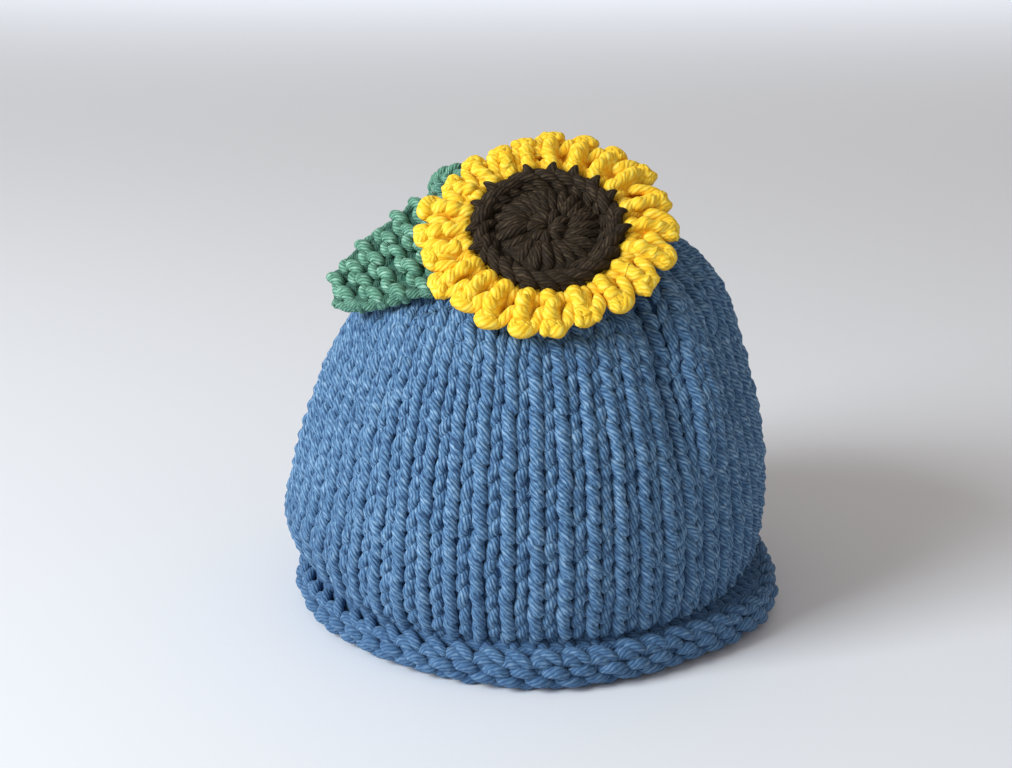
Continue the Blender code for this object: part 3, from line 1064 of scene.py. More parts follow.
@dataclass
class KnitCover:
    """The knitted dome: its rows of loops, its parted slits and the thin ground behind them."""

    face: CoverFace
    columns: int = 56
    yarn: float = 1.4
    lean: float = 0.2
    loop: float = 0.92
    depth: float = 0.95
    overlap: float = 0.5
    tilt: float = 0.3
    sink: float = 2.2
    segments: int = 14
    flattening: float = 0.08
    swelling: float = 0.05
    crown_swell: float = 0.35
    crown_rows: tuple[float, float] = (24.0, 26.0)
    # painted shade on the lowest rows, fading out by foot_rows
    foot_shade: float = 0.36
    foot_rows: float = 8.0
    draw: float = 0.6
    draw_rows: float = 1.6
    drop: float = 0.1
    cut_margin: float = 0.01
    piece_rows: tuple[int, int] = (11, 19)
    decreases: tuple[Decrease, ...] = (
        Decrease(19, 4, 3), Decrease(22, 3, 2), Decrease(25.5, 2, 1), Decrease(28, 2, 1),
    )
    slits: tuple[Slit, ...] = (
        Slit(angle=math.radians(177.2), low=24.0, high=64.0, width=20.0, column=27.5),
        Slit(angle=math.radians(0.9), low=20.0, high=78.0, width=14.0, column=0.5),
    )
    uneven: Unevenness = Unevenness()
    chain: Chain = Chain()
    thin: Ground = Ground()
    seed: int = 11

    def phase_of(self, row: float) -> int:
        """How many decreases lie below a row."""
        return sum(row >= decrease.row for decrease in self.decreases)

    def counts(self) -> list[int]:
        """The number of stitches round, after each decrease.

        Returns:
            The numbers, from the hem up.
        """
        made = [self.columns]
        for decrease in self.decreases:
            made.append(made[-1] * decrease.left // decrease.group)
        return made

    def angle_of(self, place: np.ndarray, row: np.ndarray, phase: int) -> np.ndarray:
        """The angle of a place along a row, counted in stitches.

        Args:
            place: Each place along the row.
            row: Each point's row.
            phase: How many decreases lie below.

        Returns:
            The angles.
        """
        count = self.counts()[phase]
        even = place / count
        if phase < len(self.decreases):
            decrease = self.decreases[phase]
            whole = np.floor(place).astype(int)

            def later(column: np.ndarray) -> np.ndarray:
                """Where a column goes after the decrease, in turns."""
                block, index = np.divmod(column, decrease.group)
                merged = np.minimum(index, decrease.left - 1)
                return (block * decrease.left + merged) / (count * decrease.left
                                                           / decrease.group)

            share = place - whole
            drawn = later(whole) * (1 - share) + later(whole + 1) * share
            pull = self.draw * smooth(row, decrease.row - self.draw_rows, decrease.row)
            even = even + (drawn - even) * pull
        return even * TURN

    def row_ends(self, row: float) -> list[tuple[float, float]]:
        """The stretches of a row, as places counted in stitches, between open slits.

        Args:
            row: How high it lies, in rows.

        Returns:
            The start and end of each stretch.
        """
        count = self.counts()[self.phase_of(row)]
        cuts = []
        for slit in self.slits:
            point, _ = self.face.at(np.array([slit.angle]), np.array([row]))
            if slit.half(point[:, 2])[0] > OPEN_FROM:
                cuts.append(slit.column * count / self.columns)
        if not cuts:
            return [(0.0, float(count))]
        cuts.sort()
        return list(zip(cuts, cuts[1:] + [cuts[0] + count]))

    def opened(self, angle: np.ndarray, row: np.ndarray, place: np.ndarray,
               count: int) -> np.ndarray:
        """The angles with the cloth moved aside for the slits.

        Args:
            angle: Where the cloth would be without slits.
            row: Each point's row.
            place: Each point's place in the row.
            count: How many stitches the row has.

        Returns:
            The angles.
        """
        for slit in self.slits:
            middle = slit.column * TURN / self.columns
            at_slit, _ = self.face.at(np.full_like(angle, slit.angle), row)
            height = at_slit[..., 2]
            half = slit.half(height) * slit.holds(height)
            column = slit.column * count / self.columns
            away = (place - column + count / 2) % count - count / 2
            side = np.where(away >= 0, 1.0, -1.0)
            angle = slit.part(angle, side, half, self.face.reach_of(at_slit), middle)
        return angle

    def knit(self, mesh: YarnMesh, row: float, noise: np.random.Generator) -> None:
        """Adds one row of loops.

        Args:
            mesh: Where the yarn goes.
            row: How high it lies, in rows.
            noise: The random numbers.
        """
        phase = self.phase_of(row)
        count = self.counts()[phase]
        for start, end in self.row_ends(row):
            whole = end - start >= count - 1e-6
            steps = int(round((end - start) * self.segments))
            place = start + np.arange(steps if whole else steps + 1) / self.segments
            turn = TURN * place
            wobble = place - start
            span = int(end - start) + 1
            uneven = self.uneven
            lean = self.lean * (1 + spread(wobble, span, noise, uneven.lean))
            x = place + lean * np.sin(2 * turn) + spread(wobble, span, noise, uneven.place)
            v = row - self.loop * np.cos(turn) + spread(wobble * 0.5, span, noise, uneven.row)
            angle = self.angle_of(x, v, phase)
            inside = np.clip(place, start + self.cut_margin, end - self.cut_margin)
            angle = self.opened(angle, v, inside, count)
            point, normal = self.face.at(angle, v)
            height = -self.sink - self.depth * np.cos(2 * turn) + self.overlap * np.cos(turn)
            height = height + self.tilt * np.sin(turn) + spread(wobble, span, noise, uneven.height)
            radius = self.yarn * (1 - self.flattening * np.cos(2 * turn)
                                  + self.swelling * np.sin(turn)
                                  + spread(wobble, span, noise, uneven.thickness))
            radius = radius * (1 + self.crown_swell * smooth(row, *self.crown_rows))
            mesh.add(point + normal * (height * MM)[:, None], normal, radius * MM, closed=whole,
                     shade=1 - self.foot_shade * max(1 - row / self.foot_rows, 0))

    def edge(self, mesh: YarnMesh, slit: Slit) -> None:
        """Adds the chain of stitches round a slit.

        Args:
            mesh: Where the yarn goes.
            slit: The slit that it runs round.
        """
        chain = self.chain
        rows = np.linspace(0, self.face.rows, chain.samples)
        line, _ = self.face.at(np.full_like(rows, slit.angle), rows)
        inside = slit.holds(line[:, 2])
        low, high = rows[inside][0], rows[inside][-1]
        steps = int((high - low) * chain.per_row)
        up = low + (high - low) * np.arange(steps + 1) / steps
        row = np.concatenate((up, up[::-1][1:-1]))
        side = np.concatenate((np.ones(steps + 1), -np.ones(steps - 1)))
        point, _ = self.face.at(np.full_like(row, slit.angle), row)
        half = slit.half(point[:, 2]) + chain.wave * np.sin(TURN * row) * MM
        angle = slit.angle + side * half / self.face.reach_of(point)
        point, normal = self.face.at(angle, row)
        height = -chain.sink + chain.rise * np.sin(TURN * row + chain.lag)
        radius = chain.yarn + chain.swell * np.sin(TURN * row)
        mesh.add(point + normal * (height * MM)[:, None], normal, radius * MM, closed=True)

    def ground_angles(self) -> tuple[np.ndarray, dict[int, Slit]]:
        """The ground's columns, and which of them lie before a slit.

        Returns:
            The angles, and the slit after a column, by its number.
        """
        slits = sorted(self.slits, key=lambda slit: slit.angle)
        lip = self.thin.lip
        angles, before = [], {}
        for index, slit in enumerate(slits):
            after = slits[(index + 1) % len(slits)]
            end = after.angle + (TURN if index == len(slits) - 1 else 0)
            many = int((end - slit.angle) / TURN * self.thin.around)
            angles.extend(np.linspace(slit.angle + lip, end - lip, many))
            before[len(angles) - 1] = after
        return np.array(angles), before

    def ground(self, hem: "RolledHem") -> bpy.types.Object:
        """The thin cloth behind the loops, open at the slits and joined to the hem's roll.

        Args:
            hem: The hem, in whose roll the ground ends.

        Returns:
            The object.
        """
        thin = self.thin
        angles, before = self.ground_angles()
        rows = np.linspace(thin.first_row, self.face.rows - thin.spare_rows, thin.levels)
        grid_angle, grid_row = np.meshgrid(angles, rows, indexing="ij")
        angle = grid_angle
        for slit in self.slits:
            at_slit, _ = self.face.at(np.full_like(angle, slit.angle), grid_row)
            half = slit.half(at_slit[..., 2])
            half = np.where(half > OPEN_FROM, half, 0)
            side = np.where(turn_away(grid_angle, slit.angle) >= 0, 1.0, -1.0)
            angle = slit.part(angle, side, half, self.face.reach_of(at_slit), slit.angle)
        point, normal = self.face.at(angle, grid_row)
        point = point - normal * (self.sink - thin.nearer) * MM
        point[:, 0] = hem.at(angle[:, 0], 0.0, 0.0)[0]
        count, levels = grid_angle.shape
        top = point[:, -1].mean(axis=0) - np.array((0, 0, thin.dip * MM))
        faces = []
        for i in range(count):
            n = (i + 1) % count
            gap = before.get(i)
            for j in range(levels - 1):
                if gap is not None and gap.half(point[i, j, 2]) > OPEN_FROM:
                    continue
                faces.append((i * levels + j, n * levels + j, n * levels + j + 1,
                              i * levels + j + 1))
        for i in range(count):
            n = (i + 1) % count
            faces.append((i * levels + levels - 1, n * levels + levels - 1, count * levels))
        return link("cover_ground", mesh_of("cover_ground", [*point.reshape(-1, 3), top], faces))

    def build(self) -> list[YarnMesh]:
        """The rows of loops, in pieces from the bottom up.

        Returns:
            The three pieces.
        """
        noise = np.random.default_rng(self.seed)
        pieces = [YarnMesh(name) for name in (
            "cover_lower_rows", "cover_middle_rows", "cover_crown_rows")]
        for row in range(self.face.rows):
            piece = pieces[sum(row >= first for first in self.piece_rows)]
            self.knit(piece, row - self.drop, noise)
        for slit in self.slits:
            self.edge(pieces[-1], slit)
        return pieces


def arch(steps: int) -> tuple[np.ndarray, np.ndarray]:
    """Places along a short strand, from -1 to 1, and how far it bows out at each."""
    place = np.linspace(-1, 1, steps)
    return place, 1 - place**2


def bowed(first: np.ndarray, last: np.ndarray, outward: np.ndarray, rise: float, radius: float,
          steps: int = 8) -> tuple[np.ndarray, np.ndarray]:
    """A short strand that rises in its middle and thins at its ends.

    Args:
        first: Where it starts.
        last: Where it ends.
        outward: The way in which it rises.
        rise: How far it rises, in millimetres.
        radius: Its radius in the middle, in millimetres.
        steps: How many points it has.

    Returns:
        The points of its centre line, and its radius at each.
    """
    share = np.linspace(0, 1, steps)
    bow = np.sin(math.pi * share)
    points = first + (last - first) * share[:, None] + outward * (bow * rise * MM)[:, None]
    return points, radius * MM * (0.55 + 0.45 * bow**0.7)


@dataclass
class RolledHem:
    """The hem: the same knitting rolled outward, so that its purl side shows."""

    columns: int = 56
    axis: tuple[float, float] = (1.0, 0.1)
    reach: float = 58.0
    outer: float = 5.1
    yarn: float = 1.55
    bulges: tuple[Fold, ...] = (
        Fold(268, 10, 0.8), Fold(337, 13, 1.7), Fold(225, 20, -1.0), Fold(303, 13, -1.0),
        Fold(90, 60, 0.8),
    )
    rows: tuple[float, ...] = (28.0, -12.0, -52.0, -88.0)
    middle: float = 3.6
    inside: tuple[tuple[float, float, float], ...] = ((0.0, 0.0, 3.0), (104.0, 3.3, 1.6))
    # painted shade on the whole roll, and more on the cords inside it
    shade: float = 0.56
    inside_shade: float = 0.4
    bump_half: float = 0.46
    bump_dive: float = 1.5
    bump_arch: float = 18.0
    bump_slant: float = 6.0
    roll_stray: float = 2.5
    cord_roll: float = 68.0
    cord_slant: float = 32.0
    cord_radius: float = 3.2
    cord_half: float = 0.5
    tuck_lean: float = 0.22
    tuck_row: float = 0.6
    tuck_roll: float = 95.0
    tuck_foot: float = 3.2
    tuck_depth: float = 1.9
    tuck_bow: float = 0.5
    # painted shade on the legs tucked behind the roll
    tuck_shade: float = 0.3
    seed: int = 23

    def at(self, angle: np.ndarray, roll: np.ndarray,
           radius: np.ndarray) -> tuple[np.ndarray, np.ndarray]:
        """Points and outward directions on the roll, with radius in millimetres.

        Args:
            angle: Each angle round the cover.
            roll: Each angle round the roll.
            radius: How far each point lies from the roll's middle.

        Returns:
            The points, and the outward direction at each.
        """
        angle, roll, radius = np.broadcast_arrays(angle, roll, radius)
        reach = self.reach * MM + lift_of(self.bulges, angle)
        radial = outward_at(angle)
        outward = np.cos(roll)[..., None] * radial
        outward[..., 2] += np.sin(roll)
        point = np.array((*self.axis, 0.0)) * MM + radial * reach[..., None]
        point = point + outward * (radius * MM)[..., None]
        point[..., 2] += self.outer * MM
        point[..., 2] = np.maximum(point[..., 2], self.yarn * MM)
        return point, outward

    def bump(self, mesh: YarnMesh, place: float, roll: float, noise: np.random.Generator) -> None:
        """Adds one purl bump: an arched strand whose ends dive under its neighbours.

        Args:
            mesh: Where the yarn goes.
            place: The bump's place, in columns.
            roll: Its angle round the roll, in degrees.
            noise: The random numbers.
        """
        t, bow = arch(10)
        half = self.bump_half + noise.normal(0, 0.03)
        angle = (place + noise.normal(0, 0.05) + half * t) / self.columns * TURN
        roll = math.radians(roll + noise.normal(0, self.roll_stray))
        roll = roll + np.radians(self.bump_arch * bow - self.bump_slant * t)
        low = self.middle - self.bump_dive
        radius = low + self.bump_dive * bow**0.7 + noise.normal(0, 0.2) + 0.3 * t
        point, outward = self.at(angle, roll, radius)
        mesh.add(point, outward, self.yarn * MM * (0.55 + 0.47 * bow**0.6), shade=self.shade)

    def cast_on(self, mesh: YarnMesh, place: float, noise: np.random.Generator) -> None:
        """Adds one slanted strand of the cast-on cord, which laps over the next.

        Args:
            mesh: Where the yarn goes.
            place: The strand's place, in columns.
            noise: The random numbers.
        """
        t, bow = arch(11)
        angle = place + noise.normal(0, 0.04) + (self.cord_half + noise.normal(0, 0.03)) * t
        roll = self.cord_roll - self.cord_slant * t + noise.normal(0, self.roll_stray)
        radius = self.cord_radius + 0.7 * t + 1.0 * bow + noise.normal(0, 0.15)
        point, outward = self.at(angle / self.columns * TURN, np.radians(roll), radius)
        mesh.add(point, outward, self.yarn * MM * (0.48 + 0.45 * bow**0.55), shade=self.shade)

    def tuck(self, mesh: YarnMesh, face: CoverFace, index: int, noise: np.random.Generator) -> None:
        """Adds one leg of the stitches that run from the cover down behind the roll.

        Args:
            mesh: The roll's yarn.
            face: The cover's face, from which the leg starts.
            index: Which leg, two to a column.
            noise: The source of the leg's unevenness.
        """
        t = np.linspace(0, 1, 7)
        lean = self.tuck_lean if index % 2 else -self.tuck_lean
        place = index / 2 + 0.25 + lean * (t - 0.5) + noise.normal(0, 0.03)
        angle = place / self.columns * TURN
        top, normal = face.at(angle, np.full_like(angle, self.tuck_row))
        top = top - normal * self.tuck_depth * MM
        foot, _ = self.at(angle, math.radians(self.tuck_roll), self.tuck_foot)
        point = top * (1 - t)[:, None] + foot * t[:, None]
        point[:, 2] += self.tuck_bow * MM * np.sin(math.pi * t) * (1 + noise.normal(0, 0.3))
        outward = unit(outward_at(angle) + (0, 0, 1.6))
        mesh.add(point, outward, self.yarn * MM * (0.85 + 0.15 * np.sin(math.pi * t)),
                 shade=self.tuck_shade)

    def build(self, face: CoverFace) -> YarnMesh:
        """The roll's rows of bumps, the cord of its cast-on edge and what lies inside.

        Args:
            face: The cover's face.

        Returns:
            The roll's yarn.
        """
        noise = np.random.default_rng(self.seed)
        mesh = YarnMesh("hem_roll", 10)
        for index, roll in enumerate(self.rows):
            for column in range(self.columns):
                self.bump(mesh, column + 0.5 * (index % 2), roll, noise)
        for column in range(self.columns):
            self.cast_on(mesh, column + 0.25, noise)
        place = np.arange(self.columns * 3) / (self.columns * 3) * TURN
        for roll, radius, thick in self.inside:
            point, outward = self.at(place, math.radians(roll), radius)
            mesh.add(point, outward, thick * MM, closed=True, shade=self.inside_shade)
        for index in range(self.columns * 2):
            self.tuck(mesh, face, index, noise)
        return mesh


class Lobe(NamedTuple):
    """One lobe of the ruffle: its angle in degrees and its reach in millimetres."""

    angle: float
    reach: float


def curve_through(points: Sequence[Sequence[float]], steps: int) -> np.ndarray:
    """A smooth curve through the given points.

    Args:
        points: The points, each with its coordinates.
        steps: How many steps there are from each point to the next.

    Returns:
        The curve's points, one row each.
    """
    table = np.array(points, float)
    table = np.concatenate((table[:1], table, table[-1:]))
    share = (np.arange(steps) / steps)[:, None]
    parts = [spline(*table[i - 1:i + 3], share) for i in range(1, len(table) - 2)]
    parts.append(table[-1:])
    return np.concatenate(parts)


@dataclass
class RuffledPetals:
    """The crocheted ruffle: pleated cloth, with a cord of stitches on each crest and at its rim."""

    flower: FlowerPlace
    lobes: tuple[Lobe, ...] = (
        Lobe(2, 30.9), Lobe(20, 30.6), Lobe(39, 32.4), Lobe(55, 31.2), Lobe(71, 31.6),
        Lobe(87, 31.8), Lobe(101, 28.4), Lobe(115, 27.2), Lobe(131, 28.6), Lobe(149, 27.9),
        Lobe(165, 30.4), Lobe(181, 30.9), Lobe(196, 29.8), Lobe(211, 31.3), Lobe(226, 29.6),
        Lobe(241, 30.3), Lobe(257, 29.9), Lobe(272, 29.4), Lobe(289, 28.0), Lobe(308, 28.2),
        Lobe(326, 28.8), Lobe(344, 30.3),
    )
    inner: float = 18.2
    rope: float = 1.75
    rim: float = 1.45
    crest_line: tuple[tuple[float, float], ...] = (
        (18.0, -0.9), (20.0, 0.4), (22.5, 0.9), (25.0, 0.5), (27.0, -0.3), (29.0, -1.3),
        (31.0, -2.5), (33.0, -3.6),
    )
    pit_line: tuple[tuple[float, float], ...] = (
        (17.0, -0.6), (19.6, -1.0), (21.2, -2.8), (23.6, -4.2), (25.4, -3.3), (27.0, -1.6),
        (28.5, -1.3), (30.5, -1.8),
    )
    notch_depth: float = 5.6
    tip_half: float = 2.1
    rim_shape: tuple[float, ...] = (0.75, 0.95, 1.1, 1.05, 1.0, 1.05, 0.95, 0.7)
    lumps: tuple[float, float] = (-0.1, 0.16)
    nub_side: float = 1.5
    nub_length: float = 0.9
    fold_shares: tuple[float, float] = (0.33, 0.66)
    # painted shade on the low strands between crests
    fold_shade: float = 0.75
    padding: float = 0.7
    thickness: float = 1.7
    # painted shade in the pits of the valleys
    pit_shade: float = 0.95
    per_lobe: int = 18
    levels: int = 22
    seed: int = 31

    def crest(self, reach: np.ndarray) -> np.ndarray:
        """Height of a crest's cord at each reach."""
        return np.interp(reach, *zip(*self.crest_line))

    def rim_reach(self, first: Lobe, last: Lobe, share: np.ndarray) -> np.ndarray:
        """How far the ruffle reaches, at a share of the way from one lobe to the next.

        Args:
            first: The one lobe.
            last: The next.
            share: How far from the one to the next, from 0 to 1.

        Returns:
            The reach, in millimetres.
        """
        notch = min(first.reach, last.reach) - self.notch_depth
        return np.interp(share, (0, 0.15, 0.34, 0.5, 0.64, 0.82, 0.93, 1),
                         (first.reach, first.reach - 0.1, first.reach - 0.6, first.reach - 2.6,
                          notch, notch + 0.6, last.reach - 1.6, last.reach))

    def gap(self, index: int) -> float:
        """The angle from a lobe to the next, in radians."""
        after = self.lobes[(index + 1) % len(self.lobes)]
        return math.radians((after.angle - self.lobes[index].angle) % 360)

    def place(self, angle: float, across: float, reach: float, height: float) -> np.ndarray:
        """Angle, reach and height of a point beside the line from the middle to a lobe's tip."""
        return np.array((angle + math.atan2(across, reach), math.hypot(reach, across),
                         float(self.crest(reach)) + height))

    def lay(self, mesh: YarnMesh, places: Sequence[np.ndarray], radius: np.ndarray,
            steps: int, shade: float = 1.0) -> None:
        """Adds a strand through places, each an angle, a reach and a height.

        Args:
            mesh: Where it goes.
            places: The places that it passes.
            radius: Its radius at each of those places, in millimetres.
            steps: How many steps there are from each place to the next.
            shade: Its painted shade, from 0 (all the shade colour) to 1 (none).
        """
        line = curve_through([(*place, wide) for place, wide in zip(places, radius)], steps)
        points = self.flower.point(line[:, 0], line[:, 1], line[:, 2])
        mesh.add(points, self.flower.out, line[:, 3] * MM, shade=shade)

    def crest_cord(self, mesh: YarnMesh, lobe: Lobe, noise: np.random.Generator) -> None:
        """Adds the lumpy cord that runs out along a lobe.

        Args:
            mesh: Where the yarn goes.
            lobe: The lobe that it follows.
            noise: The random numbers.
        """
        angle = math.radians(lobe.angle)
        reaches = np.linspace(self.inner, lobe.reach - self.rope, 8)
        side = noise.normal(0, 0.4)
        places, radius = [], []
        for index, reach in enumerate(reaches):
            lump = self.lumps[index % 2]
            places.append(self.place(angle, side * math.sin(index * 0.45) + noise.normal(0, 0.28),
                                     reach, -0.3 + noise.normal(0, 0.14)))
            radius.append(self.rope * (0.94 + lump + noise.normal(0, 0.05)))
        radius[0] = self.rope * 0.8
        self.lay(mesh, places, radius, 3)

    def rim_cord(self, mesh: YarnMesh, index: int, noise: np.random.Generator) -> None:
        """Adds the cord that rounds a lobe's tip, crosses the valley's end and turns inward.

        Args:
            mesh: Where the yarn goes.
            index: The lobe's number.
            noise: The random numbers.
        """
        first, last = self.lobes[index], self.lobes[(index + 1) % len(self.lobes)]
        angle, gap = math.radians(first.angle), self.gap(index)
        tip = first.reach - self.rim + noise.normal(0, 0.15)
        wide = self.tip_half + noise.normal(0, 0.25)
        lift = noise.normal(0, 0.25)

        def valley(share: float, inset: float, height: float) -> np.ndarray:
            """A place at the valley's end."""
            reach = float(self.rim_reach(first, last, share)) - inset
            return np.array((angle + gap * share, reach, float(self.crest(reach)) + height))

        places = [
            self.place(angle, -wide * 0.8, tip - 2.6, -1.5),
            self.place(angle, -wide, tip - 0.5, -0.9),
            self.place(angle, -wide * 0.4, tip + 0.45, -0.4 + lift),
            self.place(angle, wide * 0.65, tip + 0.4, -0.3 + lift),
            valley(0.33 + noise.normal(0, 0.02), self.rim, -0.9),
            valley(0.47 + noise.normal(0, 0.03), self.rim, -1.1),
            valley(0.6, self.rim - 0.4, -1.6),
            np.array((angle + gap * 0.72, first.reach - 6.8, -1.9)),
        ]
        lumps = [1 + noise.normal(0, 0.14) for _ in places]
        radius = [self.rim * lump * size for lump, size in zip(lumps, self.rim_shape)]
        self.lay(mesh, places, radius, 4)

    def nub(self, mesh: YarnMesh, index: int, side: int, noise: np.random.Generator) -> None:
        """Adds the small knob at one corner of a lobe's tip.

        Args:
            mesh: Where the yarn goes.
            index: The lobe's number.
            side: 1 for the corner ahead, -1 for the one before.
            noise: The random numbers.
        """
        lobe = self.lobes[index]
        across = side * (self.nub_side + noise.normal(0, 0.25))
        long = self.nub_length + noise.normal(0, 0.5)
        angle = math.radians(lobe.angle)
        places = [self.place(angle, across * 0.8, lobe.reach - 2.6, 0.2),
                  self.place(angle, across, lobe.reach - 1.1, 0.15),
                  self.place(angle, across * 1.1, lobe.reach - 1.1 + long * 0.7, -0.2)]
        self.lay(mesh, places, (1.0, 1.3, 1.2), 3)

    def inner_folds(self, mesh: YarnMesh, index: int, noise: np.random.Generator) -> None:
        """Adds the low strands between two crests beside the disc, and down the pit's sides.

        Args:
            mesh: Where the yarn goes.
            index: The number of the lobe before.
            noise: The random numbers.
        """
        angle, gap = math.radians(self.lobes[index].angle), self.gap(index)
        for share in self.fold_shares:
            start = angle + gap * (share + noise.normal(0, 0.03))
            end = angle + gap * (0.5 + (share - 0.5) * 1.25)
            places = [np.array((start, self.inner, -1.5)),
                      np.array((start, self.inner + 1.8, -0.7 + noise.normal(0, 0.2))),
                      np.array((end, self.inner + 3.7, -1.6)),
                      np.array((end, self.inner + 5.6, -2.8))]
            self.lay(mesh, places, (1.0, 1.3, 1.1, 0.7), 3, shade=self.fold_shade)

    def build(self) -> YarnMesh:
        """The cords of every lobe and valley.

        Returns:
            The petals' yarn.
        """
        noise = np.random.default_rng(self.seed)
        mesh = YarnMesh("petal_stitches", 12, hidden=0.5)
        for index, lobe in enumerate(self.lobes):
            self.crest_cord(mesh, lobe, noise)
            self.rim_cord(mesh, index, noise)
            for side in (-1, 1):
                self.nub(mesh, index, side, noise)
            self.inner_folds(mesh, index, noise)
        return mesh

    def backing(self) -> bpy.types.Object:
        """The pleated cloth that the cords lie on, with a pit in each valley, where painted shade
        falls.

        Returns:
            The object.
        """
        noise = np.random.default_rng(self.seed + 1)
        share = np.arange(self.per_lobe) / self.per_lobe
        angles, edges, valleys = [], [], []
        for index, lobe in enumerate(self.lobes):
            last = self.lobes[(index + 1) % len(self.lobes)]
            angles.append(math.radians(lobe.angle) + self.gap(index) * share)
            ahead = self.rim_reach(lobe, last, np.minimum(share + 0.13, 1.0))
            rim = np.maximum(self.rim_reach(lobe, last, share), ahead) - 0.8
            edges.append(np.maximum(rim, min(lobe.reach, last.reach) - 4.6))
            bend = share + noise.normal(0, 0.035) * np.sin(math.pi * share)
            valleys.append((0.5 - 0.5 * np.cos(TURN * bend)) ** 1.2 * (1 + noise.normal(0, 0.14)))
        angle = np.concatenate(angles)[:, None]
        edge = np.concatenate(edges)[:, None]
        valley = np.concatenate(valleys)[:, None]
        level = np.linspace(0, 1, self.levels)[None]
        start = self.inner - 1.5
        reach = start + (edge - start) * level
        pit = np.interp(reach, *zip(*self.pit_line))
        height = self.crest(reach) + self.padding + pit * valley - 0.9 * smooth(level, 0.9, 1.0)
        # painted shade, strongest in the pits
        shade = 1 - self.pit_shade * smooth(valley, 0.25, 0.9) * smooth(-pit, 1.4, 3.2)
        below = height - self.thickness + 1.0 * smooth(level, 0.85, 1.0)
        upper = self.flower.point(angle, reach, height)
        lower = self.flower.point(angle, reach, below)
        return closed_band("petal_ground", upper, lower, shade)


def closed_band(name: str, upper: np.ndarray, lower: np.ndarray,
                shade: np.ndarray) -> bpy.types.Object:
    """A closed ring of cloth, with coordinates for the lines of its yarn.

    Args:
        name: The object's name.
        upper: The points of its upper face, by angle and by level.
        lower: The points of its lower face.
        shade: The cloth's painted shade at each of them, from 0 (all the shade colour) to 1 (none).

    Returns:
        The object.
    """
    section = np.concatenate((upper, lower[:, ::-1]), axis=1)
    shades = np.concatenate((shade, shade[:, ::-1]), axis=1)
    count, steps = section.shape[:2]
    i, j = np.meshgrid(np.arange(count), np.arange(steps), indexing="ij")
    n, m = (i + 1) % count, (j + 1) % steps
    quads = np.stack((i * steps + j, n * steps + j, n * steps + m, i * steps + m), -1)
    mesh = mesh_of(name, section.reshape(-1, 3), [tuple(quad) for quad in quads.reshape(-1, 4)])
    pitch = np.linalg.norm(np.roll(upper, -1, axis=0) - upper, axis=-1).mean()
    across = np.linalg.norm(np.roll(section, -1, axis=1) - section, axis=-1).mean(axis=0)
    run = np.concatenate(((0.0,), np.cumsum(across)))
    round_step = np.stack((i, i + 1, i + 1, i), -1)
    cross_step = np.stack((j, j, j + 1, j + 1), -1)
    lines = np.stack((round_step * pitch * BAND_STRETCH / MM, run[cross_step] / BAND_LEAD), -1)
    spots = np.stack((round_step / count, cross_step / steps), -1)
    return finish_mesh(mesh, lines, spots, shades)


